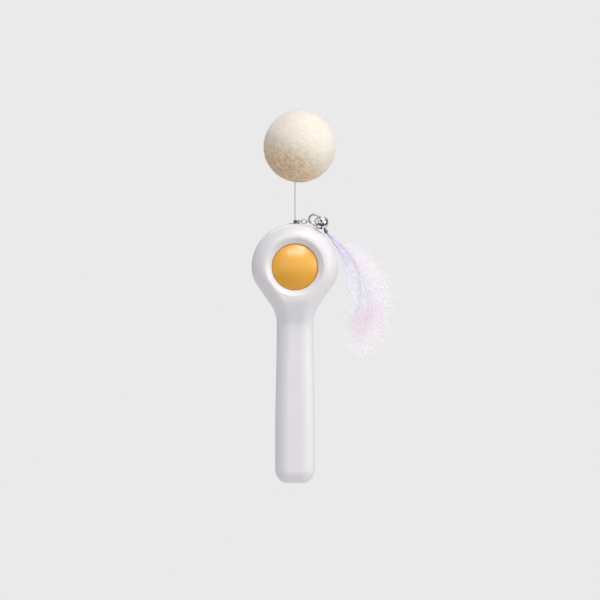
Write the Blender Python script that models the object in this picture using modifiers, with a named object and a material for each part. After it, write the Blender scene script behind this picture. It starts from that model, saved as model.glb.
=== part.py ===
# Automatic cat teaser: a hand-held wand with a motor-driven line reel in its round head.
# A yolk-coloured push button sits in a dish on the front, and the line comes out of an
# eyelet at the top of the head. On the line's end are a felt ball on a springy leader
# wire, and a short chain with a clasp that holds a jingle bell and a pair of feathers.
# Metres, +Z up along the handle, the button faces -Y, origin at the flat end of the handle.

import math

import bmesh
import bpy
from mathutils import Euler, Matrix, Vector

mm = 0.001

# Casing outline, seen from the front
cheek_radius = 19.8 * mm  # the tighter arcs below the head's widest line
cheek_turn = math.radians(35)
fillet_radius = 19.8 * mm  # hollow curve from the cheeks into the handle
neck_half_width = 10.9 * mm
grip_half_width = 11.9 * mm
grip_height = 25.7 * mm  # where the handle reaches its full width
corner_radius = 8.6 * mm
end_trim = 0.6 * mm  # cut off the rounded end to give it a flat

# Casing depth and walls
head_front_depth = 15.0 * mm
handle_front_depth = 9.0 * mm
rear_depth = 11.0 * mm
head_edge_radius = 8.6 * mm
handle_edge_radius = 8.0 * mm
rear_edge_radius = 4.0 * mm
slope_foot_drop = 1.95 * mm  # below the neck, where the front has come down to the handle
slope_length = 17.5 * mm
parting_land = 1.0 * mm
wall = 1.8 * mm
seat_gap = 0.3 * mm  # between pieces that rest on each other
fit_gap = 0.15 * mm  # between small pieces pressed or seated together
overrun = 2.0 * mm  # how far a cutter passes its face
merge_reach = 0.001 * mm  # points closer than this are one

# Dish and yolk button
dish_depth = 2.4 * mm
dish_lip = 0.15 * mm
pad_width = 5.4 * mm  # round the button
pad_thickness = 1.8 * mm
button_radius = 13.6 * mm
button_clearance = 0.35 * mm
button_crown = 1.2 * mm  # dome's top, in front of the casing
button_edge_drop = 3.3 * mm  # dome's edge, behind its top
button_edge_round = 0.4 * mm
button_wall = 1.6 * mm
flange_width = 1.6 * mm
flange_thickness = 1.2 * mm
button_travel = 1.4 * mm
post_radius = 2.2 * mm

# Circuit board, switch and what is soldered on it
board_face_depth = 9.5 * mm  # board's front face, behind the head's front
board_thickness = 1.2 * mm
board_edge_gap = 1.5 * mm  # board's rim to the case screws' bosses
switch_width = 6.0 * mm
switch_height = 3.6 * mm
plunger_radius = 1.6 * mm
plunger_end_gap = 0.1 * mm  # plunger's tail to the switch's back, when pressed
plunger_stand = button_travel  # plunger's top, in front of the switch body
button_spring_radius = 5.6 * mm
button_spring_wire = 0.6 * mm
button_spring_turns = 4.5
board_screw_circle = 9.5 * mm
board_screw_head_radius = 1.6 * mm
board_screw_head_height = 1.0 * mm
board_screw_radius = 0.8 * mm
chip_offset = 9.0 * mm
chip_size = (5.0 * mm, 1.5 * mm, 4.0 * mm)
capacitor_radius = 2.0 * mm
capacitor_height = 4.0 * mm

# Chassis plate between board and reel
chassis_gap = 0.9 * mm  # behind the board
chassis_thickness = 1.4 * mm
chassis_edge_gap = 1.8 * mm  # chassis's rim to the casing's wall
chassis_notch_half_width = 7.0 * mm
chassis_notch_drop = 10.5 * mm  # top of the notch, below the head's centre
standoff_radius = 2.2 * mm

# Case screws and their bosses
boss_gear_gap = 0.7 * mm  # crown gear's rim to the bosses
boss_wall_gap = 2.1 * mm  # bosses to the casing's wall
boss_radius = 2.3 * mm
screw_radius = 1.1 * mm
screw_head_radius = 1.8 * mm
screw_head_height = 1.4 * mm
screw_head_recess = 0.3 * mm
screw_front_reach = 7.0 * mm  # how far a screw goes into its front boss
counterbore_depth = 1.75 * mm
front_boss_top_drop = 3.0 * mm  # front boss's root, behind the head's front

# Reel: spool, crown gear, axle and wound line
reel_gap = 0.6 * mm  # chassis to spool, and crown gear to axle boss
spool_front_flange_radius = 12.0 * mm
spool_flange_thickness = 1.0 * mm
drum_radius = 6.6 * mm
drum_width = 5.45 * mm
axle_radius = 1.0 * mm
axle_boss_radius = 3.0 * mm
line_radius = 0.4 * mm
line_layers = 2
line_exit_share = 0.3  # middle of the line's run, from the eyelet back to the drum
gear_module = 0.625 * mm
crown_teeth = 48
crown_face_width = 2.8 * mm
crown_rim_width = 3.6 * mm
crown_tooth_height = 0.8 * mm
crown_rim_thickness = 1.25 * mm
crown_web_thickness = 0.65 * mm
pinion_teeth = 8
pinion_addendum = 0.35 * mm
pinion_dedendum = 0.5 * mm
pinion_length = 3.4 * mm
tooth_backlash = 0.2 * mm

# Drive motor in the neck
motor_width = 12.0 * mm
motor_depth = 10.0 * mm
motor_length = 15.0 * mm
motor_nose_radius = 2.0 * mm
motor_nose_height = 0.6 * mm
motor_shaft_radius = 0.5 * mm
motor_bore_depth = 3.0 * mm
cradle_thickness = 1.0 * mm
cradle_rib_height = 2.0 * mm

# Battery cells, contacts and door in the handle
cell_radius = 5.25 * mm
cell_length = 43.5 * mm
cell_nub_radius = 2.4 * mm
cell_nub_height = 1.0 * mm
contact_spring_radius = 3.4 * mm
contact_spring_wire = 0.5 * mm
contact_spring_turns = 2.5
contact_spring_space = 2.8 * mm  # lower contact to the lower cell
contact_width = 6.4 * mm
contact_thickness = 0.4 * mm
contact_stand = 1.1 * mm  # lower contact, above the floor's middle
partition_thickness = 0.7 * mm
partition_half_width = 5.8 * mm
door_half_width = 5.6 * mm
door_gap = 0.25 * mm
door_tongue_reach = 0.9 * mm
door_tongue_thickness = 0.9 * mm
door_rail_width = 1.0 * mm
door_grip_grooves = 5
door_grip_pitch = 1.8 * mm
door_grip_groove = 0.8 * mm
door_grip_depth = 0.4 * mm
door_grip_height = 14.0 * mm
lead_radius = 0.4 * mm
lead_start_share = 0.8  # where the red battery lead starts, across to its lane

# Line eyelet at the top of the head
eyelet_flange_radius = 3.5 * mm
eyelet_flange_thickness = 0.7 * mm
eyelet_barrel_radius = 1.9 * mm
eyelet_bore_radius = 1.2 * mm
eyelet_length = 4.0 * mm
eyelet_seat_drop = 1.0 * mm  # seat's face, below the head's top
eyelet_seat_clearance = 0.3 * mm

# Line end: ferrule, leader wire and felt ball
ferrule_radius = 1.0 * mm
ferrule_height = 1.9 * mm
ferrule_bore_radius = 0.55 * mm
ferrule_bore_depth = 0.8 * mm
leader_radius = 0.28 * mm
leader_rise = 22.3 * mm  # bare wire between ferrule and ball
leader_depth = 11.0 * mm  # how far the wire goes into the ball
ball_radius = 21.8 * mm
ball_offset = 2.7 * mm  # ball's centre, to the right of its wire
ball_bore_radius = 0.6 * mm

# Chain, clasp and bell
eye_radius = 0.8 * mm
eye_wire = 0.25 * mm
chain_height = 1.0 * mm  # chain's line, above the ferrule's foot
chain_wire = 0.25 * mm
link_length = (2.6 * mm, 3.4 * mm)
link_width = (1.5 * mm, 2.2 * mm)
link_slack = 0.15 * mm
clasp_tilt = math.radians(36)
clasp_half_length = 5.0 * mm
clasp_end_radius = 2.9 * mm
clasp_wire = 0.58 * mm
clasp_offset = (5.6 * mm, 0.1 * mm)  # loop's centre from the clasp's eye, across and up
clasp_eye_radius = 1.0 * mm
clasp_eye_wire = 0.28 * mm
gate_half_length = 1.6 * mm
gate_wire = 0.4 * mm
bell_hang_along = 1.2 * mm  # bell's hanging point on the clasp, from its middle
bell_radius = 3.9 * mm
bell_wall = 0.4 * mm
bell_seam_lip = 0.3 * mm
bell_seam_height = 0.35 * mm
bell_eye_radius = 1.45 * mm
bell_eye_wire = 0.3 * mm
bell_slot_width = 0.7 * mm
bell_slot_radius = 2.9 * mm
pellet_radius = 1.1 * mm

# Feathers
feather_turn = math.radians(66)  # cap's direction, below level
feather_raise = math.radians(35)  # how far the feathers swing up from rest
feather_eye_radius = 1.3 * mm
feather_eye_wire = 0.3 * mm
cap_length = 3.0 * mm
cap_neck_radius = 0.75 * mm
cap_mouth_radius = 1.2 * mm
cap_bore_depth = 1.1 * mm
cap_wall = 0.3 * mm
quill_radius = 0.3 * mm
quill_spread = 0.45 * mm
outer_quill_end = (10.2 * mm, 4.7 * mm)  # past the cap's mouth, along and across
outer_length = 71.0 * mm
outer_half_width = 20.0 * mm
outer_flatness = 0.2
outer_turns = (math.radians(44), math.radians(118))  # middle line, below level
outer_depths = (8.0 * mm, 16.0 * mm)  # behind the parting line, at root and beyond
inner_quill_end = (12.1 * mm, 2.6 * mm)
inner_length = 40.0 * mm
inner_half_width = 6.5 * mm
inner_flatness = 0.3
inner_turns = (math.radians(58), math.radians(99))
inner_depths = (4.0 * mm, 7.6 * mm)
plume_rise_share = 0.3
plume_tip_share = 0.04
plume_fullness = 1.3

round_steps = 40
small_steps = 14
dish_steps = 52
wire_sides = 1

front_turn = (math.radians(90), 0, 0)  # turned pieces whose own +Z faces the front
no_turn = (0, 0, 0)

# Places that follow from the sizes above: round head
crown_pitch_radius = crown_teeth * gear_module / 2
crown_outer = crown_pitch_radius + crown_rim_width / 2
crown_inner = crown_pitch_radius - crown_rim_width / 2
boss_circle = crown_outer + boss_gear_gap + boss_radius
head_radius = boss_circle + boss_radius + boss_wall_gap + wall
chassis_radius = head_radius - wall - chassis_edge_gap
board_radius = boss_circle - boss_radius - board_edge_gap
pad_radius = button_radius + pad_width
dish_radius = head_radius - head_edge_radius
button_bore = button_radius + button_clearance

# Heights up the handle, from its end to the head's centre
floor = wall - end_trim
negative_plate = floor + contact_stand
cells_foot = negative_plate + contact_thickness + contact_spring_space
cell_pitch = cell_length + cell_nub_height + seat_gap
cells_top = cells_foot + 2 * cell_pitch - seat_gap
door_top = cells_top
positive_plate = cells_top + seat_gap
partition_base = positive_plate + contact_thickness + seat_gap
motor_base = partition_base + partition_thickness + seat_gap
motor_top = motor_base + motor_length
pinion_base = motor_top + motor_nose_height + seat_gap
head_height = pinion_base + crown_outer
head_top = head_height + head_radius

# Outline and front slope
flank_start = (
    head_radius - cheek_radius + cheek_radius * math.cos(cheek_turn),
    head_height - cheek_radius * math.sin(cheek_turn),
)
flank_end_x = neck_half_width + fillet_radius * (1 - math.cos(cheek_turn))
flank_end = (
    flank_end_x,
    flank_start[1] - (flank_start[0] - flank_end_x) / math.tan(cheek_turn),
)
neck_height = flank_end[1] - fillet_radius * math.sin(cheek_turn)
slope_bottom = neck_height - slope_foot_drop

# Layers from front to back
front_face = -head_front_depth
dish_floor = front_face + dish_depth
pad_back = dish_floor + pad_thickness
board_front = front_face + board_face_depth
board_back = board_front + board_thickness
chassis_front = board_back + chassis_gap
chassis_back = chassis_front + chassis_thickness
back_inner = rear_depth - wall

spool_front = chassis_back + reel_gap
drum_front = spool_front + spool_flange_thickness
drum_back = drum_front + drum_width
crown_base = drum_back
crown_rim_back = crown_base + crown_rim_thickness
crown_web_front = crown_rim_back
crown_back = crown_web_front + crown_web_thickness
pinion_pitch_radius = pinion_teeth * gear_module / 2
pinion_tip_radius = pinion_pitch_radius + pinion_addendum
pinion_axis_y = crown_base - tooth_backlash - pinion_tip_radius
winding_radius = drum_radius + 2 * line_layers * line_radius
line_y = (drum_front + drum_back) / 2

cell_y = back_inner - seat_gap - cell_radius

# Line's way out and its end
eyelet_seat = head_top - eyelet_seat_drop
eyelet_foot = eyelet_seat + seat_gap
eyelet_top = eyelet_foot + eyelet_flange_thickness
ferrule_foot = eyelet_top + seat_gap
chain_z = ferrule_foot + chain_height
ball_bottom = ferrule_foot + ferrule_height + leader_rise
ball_height = ball_bottom + ball_radius


def clear_scene():
    for obj in list(bpy.data.objects):
        bpy.data.objects.remove(obj, do_unlink=True)


def new_collection(name):
    collection = bpy.data.collections.new(name)
    bpy.context.scene.collection.children.link(collection)
    return collection


clear_scene()
parts = new_collection("cat_teaser")
cutters = new_collection("cutters")


def material(name, color, roughness, metallic=0.0):
    made = bpy.data.materials.new(name)
    made.use_nodes = True
    shader = made.node_tree.nodes["Principled BSDF"]
    shader.inputs["Base Color"].default_value = (*color, 1.0)
    shader.inputs["Roughness"].default_value = roughness
    shader.inputs["Metallic"].default_value = metallic
    return made


shell_white = material("shell_white", (0.86, 0.84, 0.83), 0.32)
yolk_yellow = material("yolk_yellow", (0.93, 0.52, 0.11), 0.22)
white_nylon = material("white_nylon", (0.78, 0.77, 0.74), 0.45)
gear_blue = material("gear_blue", (0.35, 0.45, 0.58), 0.5)
board_green = material("board_green", (0.05, 0.26, 0.12), 0.45)
black_plastic = material("black_plastic", (0.03, 0.03, 0.035), 0.45)
steel = material("steel", (0.62, 0.62, 0.63), 0.3, 1.0)
spring_steel = material("spring_steel", (0.42, 0.42, 0.43), 0.32, 1.0)
chrome = material("chrome", (0.80, 0.80, 0.82), 0.12, 1.0)
brass = material("brass", (0.78, 0.60, 0.30), 0.3, 1.0)
cell_wrap = material("cell_wrap", (0.12, 0.24, 0.40), 0.35)
line_braid = material("line_braid", (0.80, 0.80, 0.78), 0.7)
lead_red = material("lead_red", (0.60, 0.04, 0.04), 0.45)
lead_black = material("lead_black", (0.02, 0.02, 0.02), 0.45)
felt_cream = material("felt_cream", (0.86, 0.78, 0.66), 0.95)
quill_horn = material("quill_horn", (0.82, 0.74, 0.76), 0.5)
feather_pink = material("feather_pink", (0.90, 0.72, 0.82), 0.9)
feather_lilac = material("feather_lilac", (0.74, 0.74, 0.90), 0.9)


def place(obj, finish, collection, location=no_turn, rotation=no_turn):
    """Give an object its material, collection and place."""
    obj.data.materials.append(finish)
    collection.objects.link(obj)
    obj.location = location
    obj.rotation_euler = rotation
    if collection is cutters:
        obj.hide_render = True
        obj.display_type = "WIRE"
    return obj


def mesh_object(name, bm, finish, collection=None, location=no_turn, rotation=no_turn):
    mesh = bpy.data.meshes.new(name)
    bm.to_mesh(mesh)
    bm.free()
    mesh.shade_smooth()
    mesh.set_sharp_from_angle(angle=math.radians(35))
    obj = bpy.data.objects.new(name, mesh)
    return place(obj, finish, collection or parts, location, rotation)


def block(name, finish, low, high, collection=None):
    """A box between two corners."""
    bm = bmesh.new()
    bmesh.ops.create_cube(bm, size=1)
    low, high = Vector(low), Vector(high)
    middle = (low + high) / 2
    for vert in bm.verts:
        vert.co = Vector(a * b for a, b in zip(vert.co, high - low))
    return mesh_object(name, bm, finish, collection, middle)


def rod(name, finish, radius, start, end, segments=small_steps, end_radius=None, collection=None):
    """A round bar or cone between two points."""
    start, end = Vector(start), Vector(end)
    bm = bmesh.new()
    bmesh.ops.create_cone(
        bm,
        cap_ends=True,
        segments=segments,
        radius1=radius,
        radius2=radius if end_radius is None else end_radius,
        depth=(end - start).length,
    )
    turn = (end - start).to_track_quat("Z", "Y").to_euler()
    return mesh_object(name, bm, finish, collection, (start + end) / 2, turn)


def turned(name, finish, profile, location, rotation=no_turn, steps=round_steps, ring=False, collection=None):
    """A profile of (radius, height) points turned about the piece's own +Z."""
    mesh = bpy.data.meshes.new(name)
    edges = [(i, i + 1) for i in range(len(profile) - 1)]
    if ring:
        edges.append((len(profile) - 1, 0))
    mesh.from_pydata([(radius, 0, height) for radius, height in profile], edges, [])
    obj = bpy.data.objects.new(name, mesh)
    screw = obj.modifiers.new("turn", "SCREW")
    screw.steps = screw.render_steps = steps
    screw.use_merge_vertices = True
    screw.merge_threshold = merge_reach
    screw.use_smooth_shade = True
    return place(obj, finish, collection or parts, location, rotation)


def wire(name, finish, points, radius, closed=False, sides=wire_sides):
    """A round wire along points, with filled ends."""
    curve = bpy.data.curves.new(name, "CURVE")
    curve.dimensions = "3D"
    curve.bevel_depth = radius
    curve.bevel_resolution = sides
    curve.use_fill_caps = not closed
    spline = curve.splines.new("POLY")
    spline.points.add(len(points) - 1)
    for target, point in zip(spline.points, points):
        target.co = (*point, 1)
    spline.use_cyclic_u = closed
    return place(bpy.data.objects.new(name, curve), finish, parts)


def slab(name, finish, outlines, thickness, location, rotation=no_turn):
    """A flat piece: outlines in its own XY, holes included, thickness about its own Z."""
    curve = bpy.data.curves.new(name, "CURVE")
    curve.dimensions = "2D"
    curve.fill_mode = "BOTH"
    curve.extrude = thickness / 2
    for outline in outlines:
        spline = curve.splines.new("POLY")
        spline.points.add(len(outline) - 1)
        for target, point in zip(spline.points, outline):
            target.co = (*point, 0, 1)
        spline.use_cyclic_u = True
    return place(bpy.data.objects.new(name, curve), finish, parts, location, rotation)


def as_mesh(obj, collection=None):
    """Turn a curve object, or one with modifiers, into a plain closed mesh in its place."""
    bpy.context.view_layer.update()
    graph = bpy.context.evaluated_depsgraph_get()
    mesh = bpy.data.meshes.new_from_object(obj.evaluated_get(graph), depsgraph=graph)
    bm = bmesh.new()
    bm.from_mesh(mesh)
    bmesh.ops.remove_doubles(bm, verts=bm.verts, dist=merge_reach)
    bm.to_mesh(mesh)
    bm.free()
    name, finish, where = obj.name, obj.data.materials[0], obj.matrix_world.copy()
    bpy.data.objects.remove(obj, do_unlink=True)
    mesh.materials.clear()
    made = place(bpy.data.objects.new(name, mesh), finish, collection or parts)
    made.matrix_world = where
    return made


def combine(obj, other, operation):
    """Cut, join or keep the shared part of two objects; the other becomes a guide."""
    if other.name not in cutters.objects:
        for collection in list(other.users_collection):
            collection.objects.unlink(other)
        cutters.objects.link(other)
    other.hide_render = True
    other.display_type = "WIRE"
    boolean = obj.modifiers.new(other.name, "BOOLEAN")
    boolean.operation = operation
    boolean.solver = "EXACT"
    boolean.object = other


def cut(obj, *others):
    for other in others:
        combine(obj, other, "DIFFERENCE")


def join(obj, *others):
    for other in others:
        combine(obj, other, "UNION")


def pivot(name, location, children):
    """An empty on a joint's axis that carries the pieces which move there."""
    empty = bpy.data.objects.new(name, None)
    empty.empty_display_size = head_radius / 4
    parts.objects.link(empty)
    empty.location = location
    bpy.context.view_layer.update()
    for child in children:
        where = child.matrix_world.copy()
        child.parent = empty
        child.matrix_world = where
    return empty


def circle(radius, steps, centre=(0, 0)):
    return [
        (centre[0] + radius * math.cos(turn), centre[1] + radius * math.sin(turn))
        for turn in (math.tau * step / steps for step in range(steps))
    ]


def arc(radius, start, end, steps, centre=(0, 0)):
    """Points on an arc between two angles in radians, both ends included."""
    return [
        (centre[0] + radius * math.cos(turn), centre[1] + radius * math.sin(turn))
        for turn in (start + (end - start) * step / steps for step in range(steps + 1))
    ]


def helix(centre, axis_y, start, end, start_radius, end_radius, turns, per_turn=10):
    """Coil centreline about the front axis (axis_y) or about the upright one."""
    points = []
    steps = round(turns * per_turn)
    for step in range(steps + 1):
        share = step / steps
        turn = math.tau * turns * share
        radius = start_radius + (end_radius - start_radius) * share
        along = start + (end - start) * share
        across, other = radius * math.cos(turn), radius * math.sin(turn)
        if axis_y:
            points.append((centre[0] + across, along, centre[1] + other))
        else:
            points.append((centre[0] + across, centre[1] + other, along))
    return points


def least_coil_gap(points, wire_radius, per_turn):
    """The smallest clear space between a coil's turns."""
    spacings = [
        (Vector(a) - Vector(b)).length
        for i, a in enumerate(points)
        for b in points[i + per_turn // 2 + 1:]
    ]
    return min(spacings) - 2 * wire_radius


def smooth_path(points, steps=4):
    """A smooth curve through a route's points."""
    route = [Vector(point) for point in points]
    ends = [2 * route[0] - route[1], *route, 2 * route[-1] - route[-2]]
    path = []
    for a, b, c, d in zip(ends, ends[1:], ends[2:], ends[3:]):
        for step in range(steps):
            t = step / steps
            path.append(
                (2 * b + (c - a) * t + (2 * a - 5 * b + 4 * c - d) * t**2 + (3 * b - a - 3 * c + d) * t**3) / 2
            )
    return [*path, route[-1]]


# Casing shells


def slope_share(height):
    """0 on the handle, 1 on the head, easing between them."""
    share = min(max((height - slope_bottom) / slope_length, 0), 1)
    return share * share * (3 - 2 * share)


def front_depth(height):
    """How far the casing's front stands before the parting line at a height."""
    return handle_front_depth + (head_front_depth - handle_front_depth) * slope_share(height)


def casing_outline():
    """Right-hand outline from the head's top to the handle's end, with inward normals."""
    stations = []
    for x, z in arc(head_radius, math.radians(90), 0, 11):
        stations.append((x, head_height + z, -x / head_radius, -z / head_radius))
    for x, z in arc(cheek_radius, 0, -cheek_turn, 4)[1:]:
        normal = (-x / cheek_radius, -z / cheek_radius)
        stations.append((head_radius - cheek_radius + x, head_height + z, *normal))
    level, rise = -math.cos(cheek_turn), math.sin(cheek_turn)
    for share in (1 / 3, 2 / 3, 1):
        x = flank_start[0] + (flank_end[0] - flank_start[0]) * share
        z = flank_start[1] + (flank_end[1] - flank_start[1]) * share
        stations.append((x, z, level, rise))
    for step in range(1, 6):
        turn = cheek_turn * (1 - step / 5)
        x = neck_half_width + fillet_radius * (1 - math.cos(turn))
        z = neck_height + fillet_radius * math.sin(turn)
        stations.append((x, z, -math.cos(turn), math.sin(turn)))
    for height in (slope_bottom, (slope_bottom + grip_height) / 2, grip_height):
        share = (neck_height - height) / (neck_height - grip_height)
        x = neck_half_width + (grip_half_width - neck_half_width) * share
        stations.append((x, height, -1, 0))
    corner_z = corner_radius - end_trim
    for x, z in arc(corner_radius, 0, -math.radians(90), 6):
        normal = (-x / corner_radius, -z / corner_radius)
        stations.append((grip_half_width - corner_radius + x, corner_z + z, *normal))
    stations.append((0, -end_trim, 0, 1))
    return stations


def edge_profile(side, station, steps):
    """Section of the shell at one station: inset, parting land and share of the depth left."""
    share = slope_share(station[1])
    if side < 0:
        radius = handle_edge_radius + (head_edge_radius - handle_edge_radius) * share
    else:
        radius = rear_edge_radius
    points = [(0, 0, 0), (0, parting_land, 0)]
    for step in range(1, steps + 1):
        turn = math.radians(90) * step / steps
        points.append((radius * (1 - math.cos(turn)), parting_land, math.sin(turn)))
    return points


def casing_half(name, side, steps):
    """One shell as an open half surface: side -1 is the front, +1 the rear."""
    bm = bmesh.new()
    rows = []
    for station in casing_outline():
        x, z, level, rise = station
        row = []
        for inset, land, share in edge_profile(side, station, steps):
            height = z + rise * inset
            depth = front_depth(height) if side < 0 else rear_depth
            y = side * (seat_gap / 2 + land + (depth - seat_gap / 2 - parting_land) * share)
            row.append(bm.verts.new((max(x + level * inset, 0), y, height)))
        row.append(bm.verts.new((0, row[-1].co.y, row[-1].co.z)))
        rows.append(row)
    for upper, lower in zip(rows, rows[1:]):
        for a, b, c, d in zip(upper, upper[1:], lower[1:], lower):
            corners = [a, b, c, d] if side < 0 else [d, c, b, a]
            bm.faces.new(corners)
    bmesh.ops.remove_doubles(bm, verts=bm.verts, dist=2 * merge_reach)
    bmesh.ops.dissolve_degenerate(bm, edges=bm.edges, dist=merge_reach)
    shell = mesh_object(name, bm, shell_white)
    mirror = shell.modifiers.new("mirror", "MIRROR")
    mirror.use_clip = True
    mirror.merge_threshold = 10 * merge_reach
    solid = shell.modifiers.new("wall", "SOLIDIFY")
    solid.thickness = wall
    solid.offset = -1
    solid.use_even_offset = True
    return shell


def boss_places():
    """Centres of the four case screws, seen from the front."""
    reach = boss_circle * math.sqrt(0.5)
    return [(x * reach, head_height + z * reach) for x in (-1, 1) for z in (1, -1)]


def eyelet_cutter(name):
    """Bore and flat seat for the eyelet at the head's top."""
    bore = eyelet_barrel_radius + fit_gap
    seat = eyelet_flange_radius + eyelet_seat_clearance
    profile = [
        (0, eyelet_seat_drop + overrun),
        (seat, eyelet_seat_drop + overrun),
        (seat, 0),
        (bore, 0),
        (bore, -eyelet_length - overrun),
        (0, -eyelet_length - overrun),
    ]
    return turned(name, shell_white, profile, (0, 0, eyelet_seat), steps=32, collection=cutters)


def end_cutter(name):
    """Takes the rounded end off to leave the flat."""
    reach = grip_half_width + overrun
    return block(name, shell_white, (-reach, -reach, -end_trim - overrun), (reach, reach, 0), cutters)


def front_shell():
    shell = casing_half("front_shell", -1, 6)
    pad = [
        (pad_radius, -front_face - wall / 2),
        (pad_radius, -pad_back),
        (button_radius, -pad_back),
        (button_radius, -front_face - wall / 2),
    ]
    join(shell, turned("button_pad", shell_white, pad, (0, 0, head_height), front_turn, ring=True))
    for count, (x, z) in enumerate(boss_places(), 1):
        root = (x, front_face + front_boss_top_drop, z)
        mouth = (x, chassis_front - seat_gap, z)
        join(shell, rod(f"front_boss_{count}", shell_white, boss_radius, root, mouth))
    rib_low = motor_base + cradle_rib_height
    rib_high = rib_low + cradle_thickness
    rib_root = wall / 2 - front_depth((rib_low + rib_high) / 2)
    rib_face = pinion_axis_y - motor_depth / 2 - seat_gap
    rib_half = motor_width / 4
    rib = block("motor_rib", shell_white, (-rib_half, rib_root, rib_low), (rib_half, rib_face, rib_high))
    join(shell, rib)
    dish = [(0, head_front_depth + overrun), (dish_radius, head_front_depth + overrun)]
    for step in range(6):
        share = step / 5
        radius = dish_radius + (button_bore - dish_radius) * share
        drop = (dish_depth + dish_lip) * math.sin(math.radians(90) * share)
        dish.append((radius, head_front_depth + dish_lip - drop))
    dish += [(button_bore, -pad_back - overrun), (0, -pad_back - overrun)]
    cut(shell, turned("dish_cutter", shell_white, dish, (0, 0, head_height), front_turn, dish_steps))
    for count, (x, z) in enumerate(boss_places(), 1):
        tip = (x, chassis_front - screw_front_reach - overrun / 2, z)
        mouth = (x, chassis_front + overrun, z)
        cut(shell, rod(f"pilot_hole_{count}", shell_white, screw_radius + fit_gap, mouth, tip))
    cut(shell, eyelet_cutter("front_eyelet_cutter"), end_cutter("front_end_cutter"))
    return shell


def door_slot(name, clearance, low, high):
    """The block that a battery door fills in the rear shell, grown by a clearance."""
    half = door_half_width + clearance
    front = back_inner - seat_gap - door_tongue_thickness - clearance
    return block(name, shell_white, (-half, front, low), (half, rear_depth + overrun, high), cutters)


def rear_shell():
    shell = casing_half("rear_shell", 1, 4)
    for count, (x, z) in enumerate(boss_places(), 1):
        mouth = (x, chassis_back + seat_gap, z)
        root = (x, rear_depth - wall / 2, z)
        join(shell, rod(f"rear_boss_{count}", shell_white, boss_radius, mouth, root))
    axle_mouth = (0, crown_back + seat_gap, head_height)
    axle_root = (0, rear_depth - wall / 2, head_height)
    join(shell, rod("axle_boss", shell_white, axle_boss_radius, axle_mouth, axle_root))
    motor_back = pinion_axis_y + motor_depth / 2 + seat_gap
    cheek = motor_width / 2 + seat_gap
    for count, low in enumerate((motor_base + cradle_rib_height, motor_top - 2 * cradle_rib_height), 1):
        high = low + cradle_thickness
        back = block(
            f"cradle_back_{count}",
            shell_white,
            (-cheek - cradle_thickness, motor_back, low),
            (cheek + cradle_thickness, rear_depth - wall / 2, high),
        )
        join(shell, back)
        for side in (-1, 1):
            inner, outer = side * cheek, side * (cheek + cradle_thickness)
            ear = block(
                f"cradle_ear_{count}_{side}",
                shell_white,
                (min(inner, outer), pinion_axis_y, low),
                (max(inner, outer), rear_depth - wall / 2, high),
            )
            join(shell, ear)
    partition = block(
        "partition",
        shell_white,
        (-partition_half_width, cell_y - cell_radius, partition_base),
        (partition_half_width, rear_depth - wall / 2, partition_base + partition_thickness),
    )
    join(shell, partition)
    for count, (x, z) in enumerate(boss_places(), 1):
        hole_radius = screw_radius + fit_gap
        inside, outside = (x, chassis_back - overrun, z), (x, rear_depth + overrun, z)
        cut(shell, rod(f"screw_hole_{count}", shell_white, hole_radius, inside, outside))
        floor_y = (x, rear_depth - counterbore_depth, z)
        cut(shell, rod(f"counterbore_{count}", shell_white, screw_head_radius + seat_gap, floor_y, outside))
    axle_end = (0, back_inner + fit_gap, head_height)
    axle_start = (0, crown_back, head_height)
    cut(shell, rod("axle_hole", shell_white, axle_radius + fit_gap, axle_start, axle_end))
    cut(shell, door_slot("door_cutter", door_gap, -end_trim - overrun, door_top + door_gap))
    tongue = door_half_width + door_tongue_reach + door_gap
    tongue_front = back_inner - seat_gap - door_tongue_thickness - door_gap
    tongue_way = block(
        "tongue_cutter",
        shell_white,
        (-tongue, tongue_front, -end_trim - overrun),
        (tongue, back_inner, corner_radius + overrun),
        cutters,
    )
    cut(shell, tongue_way)
    cut(shell, eyelet_cutter("rear_eyelet_cutter"), end_cutter("rear_end_cutter"))
    return shell


def battery_door():
    """Sliding cover: a slice of the rear shell with a tongue along each side."""
    door = casing_half("battery_door", 1, 4)
    combine(door, door_slot("door_block", 0, -end_trim - overrun, door_top), "INTERSECT")
    back = back_inner - seat_gap
    front = back - door_tongue_thickness
    for side in (-1, 1):
        inner = side * (door_half_width - door_rail_width)
        rail_outer, tongue_outer = side * door_half_width, side * (door_half_width + door_tongue_reach)
        rail = block(
            f"door_rail_{side}",
            shell_white,
            (min(inner, rail_outer), front, corner_radius),
            (max(inner, rail_outer), rear_depth - wall / 2, door_top),
        )
        tongue = block(
            f"door_tongue_{side}",
            shell_white,
            (min(inner, tongue_outer), front, corner_radius),
            (max(inner, tongue_outer), back, door_top),
        )
        join(door, rail, tongue)
    for count in range(door_grip_grooves):
        low = door_grip_height + count * door_grip_pitch
        half = door_half_width - door_rail_width
        groove = block(
            f"grip_groove_{count}",
            shell_white,
            (-half, rear_depth - door_grip_depth, low),
            (half, rear_depth + overrun, low + door_grip_groove),
            cutters,
        )
        cut(door, groove)
    cut(door, end_cutter("door_end_cutter"))
    pivot("battery_door_slide", (0, rear_depth, 0), [door])
    return door


def case_screws():
    head_top_y = rear_depth - screw_head_recess
    head_y = head_top_y - screw_head_height
    tip_y = chassis_front - screw_front_reach
    profile = [
        (0, head_top_y - screw_head_height / 2),
        (screw_head_radius / 2, head_top_y - screw_head_height / 2),
        (screw_head_radius / 2, head_top_y),
        (screw_head_radius, head_top_y),
        (screw_head_radius, head_y),
        (screw_radius, head_y),
        (screw_radius, tip_y + screw_radius),
        (0, tip_y),
    ]
    for count, (x, z) in enumerate(boss_places(), 1):
        turn = (math.radians(-90), 0, 0)
        turned(f"case_screw_{count}", steel, profile, (x, 0, z), turn, 16)


# Button, switch and board


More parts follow.
